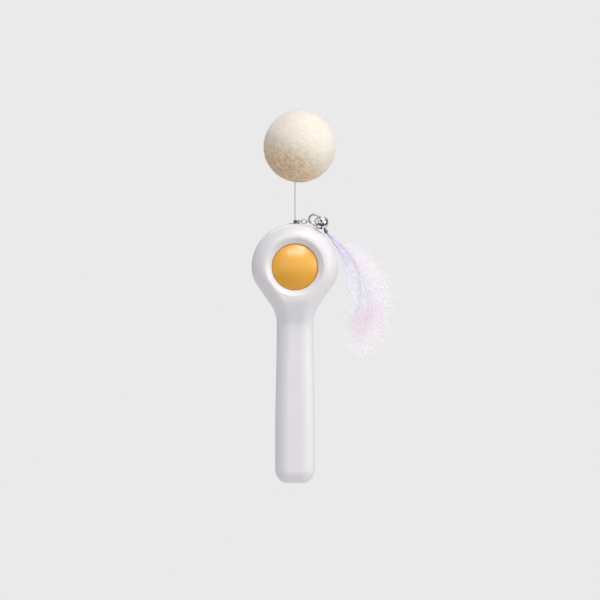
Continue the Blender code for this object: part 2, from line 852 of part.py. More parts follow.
def yolk_button():
    top = head_front_depth + button_crown
    edge = top - button_edge_drop
    sag = button_edge_drop - button_edge_round
    rim = button_radius - button_edge_round
    inner = button_radius - button_wall
    flange = button_radius + flange_width
    flange_front = -pad_back - seat_gap
    flange_back = flange_front - flange_thickness
    post_end = -board_front + fit_gap + switch_height + plunger_stand + fit_gap
    profile = [(rim * step / 6, top - sag * (step / 6) ** 2) for step in range(7)]
    profile += [(button_radius, edge), (button_radius, flange_front), (flange, flange_front)]
    profile += [(flange, flange_back), (inner, flange_back)]
    for step in range(4):
        radius = inner + (post_radius - inner) * step / 3
        profile.append((radius, top - button_wall - sag * (radius / rim) ** 2))
    profile += [(post_radius, post_end), (0, post_end)]
    return turned("yolk_button", yolk_yellow, profile, (0, 0, head_height), front_turn)


def switch_pieces():
    half = switch_width / 2
    foot = board_front - fit_gap
    low = (-half, foot - switch_height, head_height - half)
    high = (half, foot, head_height + half)
    housing = block("switch_housing", black_plastic, low, high)
    bore = plunger_radius + fit_gap
    start, end = (0, foot + overrun, head_height), (0, foot - switch_height - overrun, head_height)
    cut(housing, rod("plunger_bore", black_plastic, bore, start, end))
    tip = (0, foot - switch_height - plunger_stand, head_height)
    tail = (0, foot - button_travel - plunger_end_gap, head_height)
    return rod("switch_plunger", yolk_yellow, plunger_radius, tail, tip)


def button_spring():
    low = board_front - seat_gap - button_spring_wire / 2
    top = front_face - button_crown + button_wall
    top += (button_edge_drop - button_edge_round) * (button_spring_radius / button_radius) ** 2
    high = top + seat_gap + button_spring_wire / 2
    points = helix(
        (0, head_height), True, low, high, button_spring_radius, button_spring_radius, button_spring_turns
    )
    print("button spring, least gap in mm:", least_coil_gap(points, button_spring_wire / 2, 10) / mm)
    return wire("button_spring", spring_steel, points, button_spring_wire / 2)


def circuit_board():
    middle = (board_front + board_back) / 2
    hole = board_screw_radius + fit_gap
    outlines = [circle(board_radius, 40)]
    outlines += [circle(hole, 12, (side * board_screw_circle, 0)) for side in (-1, 1)]
    slab("circuit_board", board_green, outlines, board_thickness, (0, middle, head_height), front_turn)
    face = board_front - fit_gap
    for count, side in enumerate((-1, 1), 1):
        profile = [
            (0, board_screw_head_height),
            (board_screw_head_radius, board_screw_head_height),
            (board_screw_head_radius, 0),
            (board_screw_radius, 0),
            (board_screw_radius, -board_thickness - chassis_gap - chassis_thickness / 2),
            (0, -board_thickness - chassis_gap - chassis_thickness / 2),
        ]
        where = (side * board_screw_circle, face, head_height)
        turned(f"board_screw_{count}", steel, profile, where, front_turn, 16)
    width, height, tall = chip_size
    chip_z = head_height + chip_offset
    block(
        "control_chip",
        black_plastic,
        (-width / 2, face - height, chip_z - tall / 2),
        (width / 2, face, chip_z + tall / 2),
    )
    can_z = head_height - chip_offset
    start, end = (0, face, can_z), (0, face - capacitor_height, can_z)
    rod("capacitor", steel, capacitor_radius, start, end)


def chassis():
    middle = (chassis_front + chassis_back) / 2
    notch_x, notch_z = chassis_notch_half_width, -chassis_notch_drop
    side_turn = math.asin(notch_x / chassis_radius)
    bottom = math.radians(-90)
    rim = arc(chassis_radius, bottom + side_turn, bottom + math.tau - side_turn, 36)
    outline = [*rim, (-notch_x, notch_z), (notch_x, notch_z)]
    holes = [circle(screw_radius + fit_gap, 12, (x, z - head_height)) for x, z in boss_places()]
    holes.append(circle(axle_radius + fit_gap, 16))
    plate = slab("chassis", white_nylon, [outline, *holes], chassis_thickness, (0, middle, head_height), front_turn)
    plate = as_mesh(plate)
    for count, side in enumerate((-1, 1), 1):
        x = side * board_screw_circle
        top, root = (x, board_back + seat_gap, head_height), (x, middle, head_height)
        join(plate, rod(f"standoff_{count}", white_nylon, standoff_radius, root, top))
        above, below = (x, board_back - overrun, head_height), (x, chassis_back + overrun, head_height)
        cut(plate, rod(f"standoff_hole_{count}", white_nylon, board_screw_radius + fit_gap, above, below, 12))


# Reel


def spool():
    bore = axle_radius + fit_gap
    profile = [
        (spool_front_flange_radius, -spool_front),
        (spool_front_flange_radius, -drum_front),
        (drum_radius, -drum_front),
        (drum_radius, -drum_back),
        (crown_inner - seat_gap, -drum_back),
        (crown_inner - seat_gap, -crown_web_front + seat_gap),
        (bore, -crown_web_front + seat_gap),
        (bore, -spool_front),
    ]
    made = turned("spool", white_nylon, profile, (0, 0, head_height), front_turn, ring=True)
    winding = [
        (winding_radius, -drum_front - seat_gap),
        (winding_radius, -drum_back + seat_gap),
        (drum_radius + fit_gap, -drum_back + seat_gap),
        (drum_radius + fit_gap, -drum_front - seat_gap),
    ]
    wound = turned("line_winding", line_braid, winding, (0, 0, head_height), front_turn, ring=True)
    axle_front = (0, chassis_front, head_height)
    rod("spool_axle", steel, axle_radius, axle_front, (0, back_inner, head_height))
    return [made, wound]


def crown_gear():
    """A ring of face teeth on a thin web; rows of points run round from the teeth to the bore."""
    pitch = math.tau / crown_teeth
    inner_face = crown_pitch_radius - crown_face_width / 2
    outer_face = crown_pitch_radius + crown_face_width / 2
    tooth_top = crown_base - crown_tooth_height
    bore = axle_radius + fit_gap
    tip_share, root_share = 0.22, 0.40  # tooth's width at tip and root, in pitches
    column_shares = (-root_share / 2, -tip_share / 2, tip_share / 2, root_share / 2)
    bm = bmesh.new()

    def row(radius, depth, raised=None, teeth_apart=0):
        """One point for each column of each tooth, or one shared by some teeth."""
        points = []
        for tooth in range(crown_teeth):
            for column, share in enumerate(column_shares):
                place_share = tooth + 0.5 + share
                if teeth_apart:
                    place_share = tooth // teeth_apart * teeth_apart
                turn = place_share * pitch - math.radians(90)
                y = raised if raised is not None and column in (1, 2) else depth
                point = (radius * math.cos(turn), y, head_height + radius * math.sin(turn))
                points.append(bm.verts.new(point))
        return points

    rows = [
        row(crown_inner, crown_base, teeth_apart=1),
        row(inner_face, crown_base),
        row(inner_face, crown_base, tooth_top),
        row(outer_face, crown_base, tooth_top),
        row(outer_face, crown_base),
        row(crown_outer, crown_base, teeth_apart=1),
        row(crown_outer, crown_back, teeth_apart=1),
        row(bore, crown_back, teeth_apart=4),
        row(bore, crown_web_front, teeth_apart=4),
        row(crown_inner, crown_web_front, teeth_apart=1),
    ]
    for near, far in zip(rows, [*rows[1:], rows[0]]):
        for a, b, c, d in zip(near, near[1:] + near[:1], far[1:] + far[:1], far):
            bm.faces.new((a, b, c, d))
    bmesh.ops.remove_doubles(bm, verts=bm.verts, dist=2 * merge_reach)
    bmesh.ops.dissolve_degenerate(bm, edges=bm.edges, dist=merge_reach)
    bmesh.ops.recalc_face_normals(bm, faces=bm.faces)
    return mesh_object("crown_gear", bm, gear_blue)


def motor_pieces():
    centre = (0, pinion_axis_y)
    low, high = (*centre, motor_base), (*centre, motor_top)
    can = rod("drive_motor", steel, motor_width / 2, low, high, 32)
    half = motor_depth / 2
    flats = block(
        "motor_flats",
        steel,
        (-motor_width, pinion_axis_y - half, motor_base - overrun),
        (motor_width, pinion_axis_y + half, motor_top + overrun),
        cutters,
    )
    combine(can, flats, "INTERSECT")
    nose_top = (*centre, motor_top + motor_nose_height)
    join(can, rod("motor_nose", steel, motor_nose_radius, (*centre, motor_top - overrun), nose_top))
    bore_foot = (*centre, motor_top - motor_bore_depth)
    bore_mouth = (*centre, motor_top + motor_nose_height + overrun)
    cut(can, rod("shaft_bore", steel, motor_shaft_radius + fit_gap, bore_foot, bore_mouth, 12))
    shaft_top = pinion_base + pinion_length + seat_gap
    shaft_foot = (*centre, motor_top - motor_bore_depth + fit_gap)
    shaft = rod("motor_shaft", steel, motor_shaft_radius, shaft_foot, (*centre, shaft_top), 12)
    root = pinion_pitch_radius - pinion_dedendum
    outline = []
    pitch = math.tau / pinion_teeth
    tip_share, root_share = 0.17, 0.46  # tooth's width at tip and root, in pitches
    for tooth in range(pinion_teeth):
        middle = math.radians(90) + tooth * pitch
        for radius, share in (
            (root, -root_share / 2),
            (pinion_tip_radius, -tip_share / 2),
            (pinion_tip_radius, tip_share / 2),
            (root, root_share / 2),
        ):
            turn = middle + share * pitch
            outline.append((radius * math.cos(turn), radius * math.sin(turn)))
    bore = circle(motor_shaft_radius + fit_gap, 12)
    where = (*centre, pinion_base + pinion_length / 2)
    pinion = slab("motor_pinion", brass, [outline, bore], pinion_length, where)
    return [shaft, pinion]


def reel_line():
    """From the winding's left side up through the eyelet to the ferrule."""
    exit_point = Vector((0, 0, eyelet_seat - eyelet_length))
    start_x = -winding_radius - line_radius - fit_gap
    leaving = Vector((start_x, line_y, head_height + drum_radius))
    route = [
        (start_x, line_y, head_height),
        (start_x, line_y, head_height + drum_radius / 2),
        exit_point.lerp(leaving, line_exit_share),
        exit_point,
        (0, 0, eyelet_foot),
        (0, 0, ferrule_foot - fit_gap),
    ]
    return wire("reel_line", line_braid, smooth_path(route), line_radius)


# Battery cells, contacts and leads


def power_pieces():
    nub_share = 0.5
    cell_profile = [
        (0, cell_length + cell_nub_height),
        (cell_nub_radius, cell_length + cell_nub_height),
        (cell_nub_radius, cell_length),
        (cell_radius - cell_nub_height * nub_share, cell_length),
        (cell_radius, cell_length - cell_nub_height * nub_share),
        (cell_radius, cell_nub_height * nub_share),
        (cell_radius - cell_nub_height * nub_share, 0),
        (0, 0),
    ]
    for count in (1, 2):
        low = cells_top - count * cell_pitch + seat_gap
        turned(f"battery_cell_{count}", cell_wrap, cell_profile, (0, cell_y, low), steps=24)
    half = contact_width / 2
    for name, low in (("negative_contact", negative_plate), ("positive_contact", positive_plate)):
        block(name, steel, (-half, cell_y - half, low), (half, cell_y + half, low + contact_thickness))
    coil_low = negative_plate + contact_thickness + seat_gap + contact_spring_wire / 2
    coil_high = cells_foot - fit_gap - contact_spring_wire / 2
    end_radius = cell_nub_radius - contact_spring_wire
    points = helix(
        (0, cell_y), False, coil_low, coil_high, contact_spring_radius, end_radius, contact_spring_turns
    )
    print("contact spring, least gap in mm:", least_coil_gap(points, contact_spring_wire / 2, 10) / mm)
    wire("contact_spring", spring_steel, points, contact_spring_wire / 2)


def leads():
    """Routes of the four leads inside the casing."""
    front_of_cells = cell_y - cell_radius - 2 * lead_radius - seat_gap
    lane = motor_width / 2 + 2 * seat_gap + cradle_thickness + lead_radius + fit_gap
    board_y = board_back + lead_radius + seat_gap
    board_z = head_height - chassis_notch_drop - 2 * lead_radius
    inner_x = chassis_notch_half_width - 3 * lead_radius
    in_front_of_motor = pinion_axis_y - motor_depth / 2 - lead_radius - seat_gap
    plate_front = cell_y - contact_width / 2 - lead_radius - fit_gap
    battery_red = [
        (inner_x / 2, plate_front, positive_plate),
        (lane * lead_start_share, plate_front, positive_plate + lead_radius),
        (lane, 0, motor_base + cradle_rib_height),
        (lane, in_front_of_motor, motor_base + 3 * cradle_rib_height),
        (inner_x, in_front_of_motor, motor_top - 2 * cradle_rib_height),
        (inner_x, board_y, board_z - 4 * lead_radius),
        (inner_x, board_y, board_z),
    ]
    battery_black = [
        (-inner_x / 3, plate_front, negative_plate + lead_radius),
        (-inner_x / 2, front_of_cells, negative_plate + contact_width),
        (-inner_x / 2, front_of_cells, head_height / 2),
        (-inner_x / 2, front_of_cells, positive_plate - contact_width),
        (-lane, in_front_of_motor, motor_base + 3 * cradle_rib_height),
        (-inner_x, in_front_of_motor, motor_top - 2 * cradle_rib_height),
        (-inner_x, board_y, board_z - 4 * lead_radius),
        (-inner_x, board_y, board_z),
    ]
    wire("battery_lead_red", lead_red, smooth_path(battery_red), lead_radius)
    wire("battery_lead_black", lead_black, smooth_path(battery_black), lead_radius)
    rib_clear = motor_width / 4 + lead_radius + seat_gap
    for name, finish, side in (("motor_lead_red", lead_red, 1), ("motor_lead_black", lead_black, -1)):
        route = [
            (side * rib_clear, in_front_of_motor, motor_base + 2 * lead_radius),
            (side * rib_clear, in_front_of_motor, motor_base + motor_length / 2),
            (side * rib_clear, in_front_of_motor, motor_top),
            (side * inner_x / 2, board_y, board_z - 4 * lead_radius),
            (side * inner_x / 2, board_y, board_z),
        ]
        wire(name, finish, smooth_path(route), lead_radius)


# Line end and what hangs on it


def line_eyelet():
    profile = [
        (eyelet_flange_radius, seat_gap + eyelet_flange_thickness),
        (eyelet_flange_radius, seat_gap),
        (eyelet_barrel_radius, seat_gap),
        (eyelet_barrel_radius, seat_gap - eyelet_length),
        (eyelet_bore_radius, seat_gap - eyelet_length),
        (eyelet_bore_radius, seat_gap),
        (eyelet_bore_radius + eyelet_flange_thickness, seat_gap + eyelet_flange_thickness),
    ]
    turned("line_eyelet", steel, profile, (0, 0, eyelet_seat), steps=24, ring=True)


def ring(name, finish, radius, wire_radius, centre, turn, sides=12):
    """A round wire ring as a solid torus; turn places its axis from its own +Z."""
    section = [
        (radius + x, z)
        for x, z in arc(wire_radius, math.radians(90), math.radians(90) - math.tau, 6)[:-1]
    ]
    return turned(name, finish, section, centre, turn, sides, ring=True)


def line_ferrule():
    profile = [
        (0, ferrule_height),
        (ferrule_bore_radius, ferrule_height),
        (ferrule_radius, ferrule_height - ferrule_radius / 2),
        (ferrule_radius, 0),
        (0, 0),
    ]
    bead = turned("line_ferrule", steel, profile, (0, 0, ferrule_foot), steps=16)
    eye_centre = (ferrule_radius + eye_radius, 0, chain_z)
    join(bead, ring("ferrule_eye", steel, eye_radius, eye_wire, eye_centre, front_turn))
    top = ferrule_foot + ferrule_height
    mouth, root = (0, 0, top + overrun), (0, 0, top - ferrule_bore_depth)
    cut(bead, rod("ferrule_bore", steel, leader_radius + fit_gap, root, mouth, 12))
    return bead


def ball_and_leader():
    foot = ferrule_foot + ferrule_height - ferrule_bore_depth + fit_gap
    top = ball_bottom + leader_depth
    points = [(0, 0, foot), (0, 0, (foot + top) / 2), (0, 0, top)]
    leader = wire("leader_wire", spring_steel, points, leader_radius)
    bm = bmesh.new()
    bmesh.ops.create_uvsphere(bm, u_segments=28, v_segments=16, radius=ball_radius)
    ball = mesh_object("felt_ball", bm, felt_cream, None, (ball_offset, 0, ball_height))
    low, high = (0, 0, ball_bottom - overrun), (0, 0, top + seat_gap)
    cut(ball, rod("ball_bore", felt_cream, ball_bore_radius, low, high, 12))
    return [leader, ball]


def oval(length, width, steps=6):
    """A stretched loop: two half circles joined by straight sides, centred on zero."""
    radius, reach = width / 2, (length - width) / 2
    right = arc(radius, math.radians(-90), math.radians(90), steps, (reach, 0))
    left = arc(radius, math.radians(90), math.radians(270), steps, (-reach, 0))
    return right + left


def chain_places():
    """Centres of the two links and of the clasp's eye, along the chain."""
    overlap = 2 * chain_wire + link_slack
    first_left = ferrule_radius + eye_radius
    first = first_left + link_length[0] / 2
    second_left = first_left + link_length[0] - overlap
    second = second_left + link_length[1] / 2
    clasp_left = second_left + link_length[1] - chain_wire - clasp_eye_wire - link_slack
    return first, second, clasp_left + clasp_eye_radius


first_link_x, second_link_x, clasp_eye_x = chain_places()
first_hinge_x = ferrule_radius + eye_radius
second_hinge_x = first_link_x + link_length[0] / 2 - chain_wire - link_slack / 2
clasp_hinge_x = second_link_x + link_length[1] / 2 - chain_wire - link_slack / 2
clasp_x = clasp_eye_x + clasp_offset[0]
clasp_z = chain_z + clasp_offset[1]
clasp_along = (math.cos(clasp_tilt), -math.sin(clasp_tilt))
clasp_across = (math.sin(clasp_tilt), math.cos(clasp_tilt))


def on_clasp(along, across):
    """A point of the clasp's plane, from its middle."""
    return (
        clasp_x + along * clasp_along[0] + across * clasp_across[0],
        0,
        clasp_z + along * clasp_along[1] + across * clasp_across[1],
    )


bell_hang = on_clasp(bell_hang_along, clasp_end_radius)
feather_hang = on_clasp(clasp_half_length, 0)
bell_eye_slack = bell_eye_radius - bell_eye_wire - clasp_wire / math.cos(clasp_tilt) - fit_gap
bell_reach = bell_radius + bell_eye_radius + bell_eye_slack
bell_lean = clasp_wire + seat_gap + bell_radius + bell_seam_lip
bell_drop = math.sqrt(bell_reach**2 - bell_lean**2)
bell_centre = (bell_hang[0], -bell_lean, bell_hang[2] - bell_drop)
bell_turn = (-math.atan2(bell_lean, bell_drop), 0, 0)


def chain_links():
    links = []
    flat_then_upright = ((first_link_x, False), (second_link_x, True))
    for count, (centre, upright) in enumerate(flat_then_upright):
        points = []
        for across, other in oval(link_length[count], link_width[count]):
            y, z = (0, other) if upright else (other, 0)
            points.append((centre + across, y, chain_z + z))
        links.append(wire(f"chain_link_{count + 1}", chrome, points, chain_wire, closed=True))
    return links


def snap_clasp():
    """Loop with its eye; the lower side is left open for the gate."""
    reach = clasp_half_length - clasp_end_radius
    stop = gate_half_length + seat_gap
    right = arc(clasp_end_radius, math.radians(-90), math.radians(90), 8, (reach, 0))
    left = arc(clasp_end_radius, math.radians(90), math.radians(270), 8, (-reach, 0))
    outline = [(stop, -clasp_end_radius), *right, *left, (-stop, -clasp_end_radius)]
    points = [on_clasp(*point) for point in outline]
    loop = as_mesh(wire("snap_clasp", chrome, points, clasp_wire))
    eye = ring(
        "clasp_eye", chrome, clasp_eye_radius, clasp_eye_wire, (clasp_eye_x, 0, chain_z), no_turn, 16
    )
    join(loop, eye)
    return loop


def clasp_gate():
    ends = [on_clasp(side * gate_half_length, -clasp_end_radius) for side in (-1, 1)]
    return rod("clasp_gate", chrome, gate_wire, ends[0], ends[1], 12), ends[1]


def move_to(obj, centre, turn):
    """Turn a piece made about zero and carry it to its place."""
    bpy.context.view_layer.update()
    carried = Matrix.Translation(centre) @ Euler(turn).to_matrix().to_4x4()
    obj.matrix_world = carried @ obj.matrix_basis
    return obj


def bell_pieces():
    outer, inner = bell_radius, bell_radius - bell_wall
    half_gap = fit_gap / 2
    seam = bell_seam_height + half_gap
    lip = outer + bell_seam_lip
    upright, seam_turn = math.radians(90), math.asin(seam / outer)
    outside = [(0, outer), *arc(outer, upright, seam_turn, 6)[1:]]
    inside = [*arc(inner, math.asin(half_gap / inner), upright, 6)[:-1], (0, inner)]
    profile = [*outside, (lip, seam), (lip, half_gap), *inside]
    upper = turned("bell_upper", chrome, profile, bell_centre, bell_turn, 22)
    eye_centre = Vector(bell_centre) + Euler(bell_turn).to_matrix() @ Vector((0, 0, outer + bell_eye_radius))
    sideways = (0, math.radians(90), 0)
    join(upper, ring("bell_eye", chrome, bell_eye_radius, bell_eye_wire, eye_centre, sideways, 14))
    profile = [(radius, -height) for radius, height in reversed(profile)]
    lower = turned("bell_lower", chrome, profile, bell_centre, bell_turn, 22)
    reach, half = bell_slot_radius, bell_slot_width / 2
    for count, (x, y) in enumerate(((reach, half), (half, reach))):
        slot = block(f"bell_slot_{count}", chrome, (-x, -y, -outer - overrun), (x, y, -inner / 2), cutters)
        cut(lower, move_to(slot, bell_centre, bell_turn))
    bm = bmesh.new()
    bmesh.ops.create_uvsphere(bm, u_segments=12, v_segments=8, radius=pellet_radius)
    where = (bell_centre[0], bell_centre[1], bell_centre[2] - inner + pellet_radius + seat_gap)
    pellet = mesh_object("bell_pellet", bm, steel, None, where)
    return upper, lower, pellet


def plume(name, finish, start, length, half_width, flatness, turns, depths):
    """A soft flattened plume whose middle line bends from one direction to another."""
    steps = 12
    points, radii = [], []
    x, z = start
    for step in range(steps + 1):
        share = step / steps
        rise = min(share / plume_rise_share, 1)
        depth = depths[0] + (depths[1] - depths[0]) * rise * rise * (3 - 2 * rise)
        points.append((x, depth / flatness, z))
        radii.append(max(math.sin(math.pi * share) ** plume_fullness, plume_tip_share))
        turn = turns[0] + (turns[1] - turns[0]) * (share + 0.5 / steps)
        x += length / steps * math.cos(turn)
        z -= length / steps * math.sin(turn)
    made = wire(name, finish, points, half_width, sides=3)
    for point, radius in zip(made.data.splines[0].points, radii):
        point.radius = radius
    made.scale.y = flatness
    return made


def feather_pieces():
    """Crimp cap with its eye, and the two feathers that it holds."""
    along = Vector((clasp_along[0], 0, clasp_along[1]))
    down = Vector((math.cos(feather_turn), 0, -math.sin(feather_turn)))
    slack = feather_eye_radius - feather_eye_wire - clasp_wire / math.cos(feather_raise) - fit_gap
    eye_centre = Vector(feather_hang) + along * slack
    neck = eye_centre + down * feather_eye_radius
    mouth = neck + down * cap_length
    cap = rod("feather_cap", steel, cap_neck_radius, neck, mouth, 18, cap_mouth_radius)
    join(cap, ring("feather_eye", steel, feather_eye_radius, feather_eye_wire, eye_centre, (0, clasp_tilt, 0), 14))
    bore = cap_mouth_radius - cap_wall
    cut(cap, rod("cap_bore", steel, bore, mouth - down * cap_bore_depth, mouth + down * overrun, 16))
    root = mouth - down * (cap_bore_depth - fit_gap)
    pieces = [cap]
    for side, name, finish, quill_end, length, half_width, flatness, turns, depths in (
        (1, "outer", feather_pink, outer_quill_end, outer_length, outer_half_width, outer_flatness,
         outer_turns, outer_depths),
        (-1, "inner", feather_lilac, inner_quill_end, inner_length, inner_half_width, inner_flatness,
         inner_turns, inner_depths),
    ):
        aside = Vector((0, side * quill_spread, 0))
        end = mouth + down * quill_end[0] + Vector((-down.z, 0, down.x)) * quill_end[1]
        end.y = depths[0]
        middle = (mouth + end) / 2 + Vector((0, -end.y / 4, 0))
        route = smooth_path([root + aside, mouth + aside, middle, end])
        pieces.append(wire(f"feather_quill_{name}", quill_horn, route, quill_radius))
        onward = Vector((math.cos(turns[0]), 0, -math.sin(turns[0]))) * (seat_gap + quill_radius)
        start = end + onward
        pieces.append(
            plume(f"feather_plume_{name}", finish, (start.x, start.z), length, half_width, flatness, turns, depths)
        )
    return pieces


def line_end():
    """The ferrule and all that it carries, each piece on its joint's pivot."""
    ferrule = line_ferrule()
    ball_pivot = pivot("ball_sway", (0, 0, ferrule_foot + ferrule_height), ball_and_leader())
    upper, lower, pellet = bell_pieces()
    pellet_pivot = pivot("pellet_roll", bell_centre, [pellet])
    bell_pivot = pivot("bell_swing", bell_hang, [upper, lower, pellet_pivot])
    feather_pivot = pivot("feather_swing", feather_hang, feather_pieces())
    gate, gate_hinge = clasp_gate()
    gate_pivot = pivot("gate_press", gate_hinge, [gate])
    clasp_pivot = pivot(
        "clasp_swing", (clasp_hinge_x, 0, chain_z), [snap_clasp(), gate_pivot, bell_pivot, feather_pivot]
    )
    first, second = chain_links()
    second_pivot = pivot("link_2_swing", (second_hinge_x, 0, chain_z), [second, clasp_pivot])
    first_pivot = pivot("link_1_swing", (first_hinge_x, 0, chain_z), [first, second_pivot])
    pivot("line_out", (0, 0, ferrule_foot), [ferrule, ball_pivot, first_pivot])


def build():
    front_shell()
    rear_shell()
    battery_door()
    case_screws()
    plunger = switch_pieces()
    button = yolk_button()
    button_spring()
    circuit_board()
    chassis()
    reel = spool()
    pivot("spool_turn", (0, 0, head_height), [*reel, crown_gear()])
    pivot("motor_turn", (0, pinion_axis_y, motor_top), motor_pieces())
    pivot("button_press", (0, front_face, head_height), [button, plunger])
    reel_line()
    power_pieces()
    leads()
    line_eyelet()
    line_end()


build()
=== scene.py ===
# Looks of the cat teaser: casing, yolk button, felt ball, chain with bell and feathers.
# Sizes are in metres, in the CAD's frame: +Z up the handle, the button faces -Y.

import math
import random

import bmesh
import bpy
from mathutils import Euler, Matrix, Vector, noise
from mathutils.geometry import delaunay_2d_cdt


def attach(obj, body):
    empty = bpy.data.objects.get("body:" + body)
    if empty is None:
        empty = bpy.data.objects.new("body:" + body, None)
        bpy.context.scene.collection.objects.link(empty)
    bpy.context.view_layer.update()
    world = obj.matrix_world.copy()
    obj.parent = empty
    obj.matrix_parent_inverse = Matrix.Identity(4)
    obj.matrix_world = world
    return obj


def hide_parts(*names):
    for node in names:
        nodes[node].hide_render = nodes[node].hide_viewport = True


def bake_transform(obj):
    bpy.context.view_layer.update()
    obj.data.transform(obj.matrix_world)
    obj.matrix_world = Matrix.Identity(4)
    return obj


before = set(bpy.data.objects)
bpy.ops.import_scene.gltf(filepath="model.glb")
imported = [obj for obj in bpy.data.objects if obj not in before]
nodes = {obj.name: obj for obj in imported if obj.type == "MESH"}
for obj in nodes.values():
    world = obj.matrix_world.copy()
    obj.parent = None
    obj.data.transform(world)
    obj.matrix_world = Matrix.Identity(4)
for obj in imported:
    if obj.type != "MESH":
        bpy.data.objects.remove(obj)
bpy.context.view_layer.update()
mm = 0.001
print("frame loaded:", len(nodes), "nodes")

quarter = math.radians(90)
facingFront = Matrix.Rotation(quarter, 4, "X")
facingBack = Matrix.Rotation(-quarter, 4, "X")
sharpFrom = 32  # degrees; a smaller turn between two faces is shaded smooth
allSmooth = 180
weldDistance = 0.001 * mm
sliver = 0.0001 * mm


def linked(name, data):
    obj = bpy.data.objects.new(name, data)
    bpy.context.scene.collection.objects.link(obj)
    return obj


def removeObject(obj):
    data = obj.data
    bpy.data.objects.remove(obj, do_unlink=True)
    (bpy.data.meshes if isinstance(data, bpy.types.Mesh) else bpy.data.curves).remove(data)


def smooth(obj, angle=sharpFrom):
    obj.data.shade_smooth()
    obj.data.set_sharp_from_angle(angle=math.radians(angle))
    return obj


def plainMesh(name, points, edges=(), faces=()):
    mesh = bpy.data.meshes.new(name)
    mesh.from_pydata([tuple(point) for point in points], list(edges), list(faces))
    return linked(name, mesh)


def chained(points, closed=False):
    # the edges that join points in a row
    edges = [(i, i + 1) for i in range(len(points) - 1)]
    return [*edges, (len(points) - 1, 0)] if closed else edges


def meshFromBmesh(name, bm, angle=sharpFrom):
    mesh = bpy.data.meshes.new(name)
    bm.to_mesh(mesh)
    bm.free()
    return smooth(linked(name, mesh), angle)


def applied(obj, angle=sharpFrom):
    # what the object's modifiers make, as a plain mesh at the origin
    bpy.context.view_layer.update()
    graph = bpy.context.evaluated_depsgraph_get()
    mesh = bpy.data.meshes.new_from_object(obj.evaluated_get(graph), depsgraph=graph)
    mesh.transform(obj.matrix_world)
    name = obj.name
    removeObject(obj)
    mesh.name = name
    return smooth(linked(name, mesh), angle)


def welded(obj, angle):
    # merge the points that a cut or a wire's cap leaves all but together
    bm = bmesh.new()
    bm.from_mesh(obj.data)
    bmesh.ops.remove_doubles(bm, verts=bm.verts, dist=weldDistance)
    bmesh.ops.dissolve_degenerate(bm, edges=bm.edges, dist=sliver)
    bm.to_mesh(obj.data)
    bm.free()
    return smooth(obj, angle)


def at(x, y, z, turn=Matrix()):
    return Matrix.Translation((x, y, z)) @ turn


def turned(name, profile, steps=64, closed=False, matrix=None, angle=sharpFrom):
    # a profile of (radius, height) turned about its own +Z, then set in place
    obj = plainMesh(name, [(r, 0, h) for r, h in profile], chained(profile, closed))
    screw = obj.modifiers.new("turn", "SCREW")
    screw.steps = screw.render_steps = steps
    screw.use_merge_vertices = True
    screw.merge_threshold = sliver
    if matrix is not None:
        obj.matrix_world = matrix
    return applied(obj, angle)


def cylinder(name, radius, low, high, place, steps=96):
    # a plain round cutter from low to high along its own +Z
    return turned(name, [(0, high), (radius, high), (radius, low), (0, low)], steps, matrix=place)


def ringMesh(name, radius, wire, matrix, steps=48, sides=14):
    section = [(radius + wire * math.cos(t), wire * math.sin(t))
               for t in (quarter - math.tau * i / sides for i in range(sides))]
    return turned(name, section, steps, True, matrix, 60)


def tube(name, points, radius, sides=12, closed=False, radii=None):
    # a round wire along points
    curve = bpy.data.curves.new(name, "CURVE")
    curve.dimensions = "3D"
    curve.bevel_depth = radius
    curve.bevel_resolution = max(sides // 2 - 2, 0)
    curve.use_fill_caps = not closed
    spline = curve.splines.new("POLY")
    spline.points.add(len(points) - 1)
    for number, (target, point) in enumerate(zip(spline.points, points)):
        target.co = (*point, 1)
        if radii:
            target.radius = radii[number]
    spline.use_cyclic_u = closed
    return welded(applied(linked(name, curve), 50), 50)


def boxMesh(name, low, high, bevel=0.0):
    bm = bmesh.new()
    bmesh.ops.create_cube(bm, size=1)
    low, high = Vector(low), Vector(high)
    for vert in bm.verts:
        vert.co = Vector([a * b for a, b in zip(vert.co, high - low)]) + (low + high) / 2
    if bevel:
        bmesh.ops.bevel(bm, geom=bm.edges[:], offset=bevel, segments=3, affect="EDGES", profile=0.5)
    return meshFromBmesh(name, bm)


def combine(obj, others, operation="DIFFERENCE", angle=sharpFrom):
    # cut from, join to or keep of obj what the others hold, one by one
    for other in others:
        boolean = obj.modifiers.new(other.name, "BOOLEAN")
        boolean.operation = operation
        boolean.solver = "EXACT"
        boolean.object = other
        obj = welded(applied(obj, angle), angle)
        removeObject(other)
    return obj


def joined(name, objects, angle):
    # several plain meshes as one piece
    bm = bmesh.new()
    for obj in objects:
        bm.from_mesh(obj.data)
        removeObject(obj)
    return meshFromBmesh(name, bm, angle)


def inMm(points):
    return [tuple(value * mm for value in point) for point in points]


def between(low, high, share):
    return low + (high - low) * share


def eased(share):
    return share * share * (3 - 2 * share)


def shares(steps):
    return [step / steps for step in range(1, steps + 1)]


def arcPoints(radius, start, end, steps, centre=(0.0, 0.0)):
    return [
        (centre[0] + radius * math.cos(t), centre[1] + radius * math.sin(t))
        for t in (start + (end - start) * i / steps for i in range(steps + 1))
    ]


def smoothPath(points, steps=8):
    route = [Vector(p) for p in points]
    ends = [2 * route[0] - route[1], *route, 2 * route[-1] - route[-2]]
    path = []
    for a, b, c, d in zip(ends, ends[1:], ends[2:], ends[3:]):
        for step in range(steps):
            t = step / steps
            bend, sway = 2 * a - 5 * b + 4 * c - d, 3 * b - a - 3 * c + d
            path.append((2 * b + (c - a) * t + bend * t**2 + sway * t**3) / 2)
    return [*path, route[-1]]


def paint(obj, material):
    obj.data.materials.clear()
    obj.data.materials.append(material)
    for polygon in obj.data.polygons:
        polygon.material_index = 0


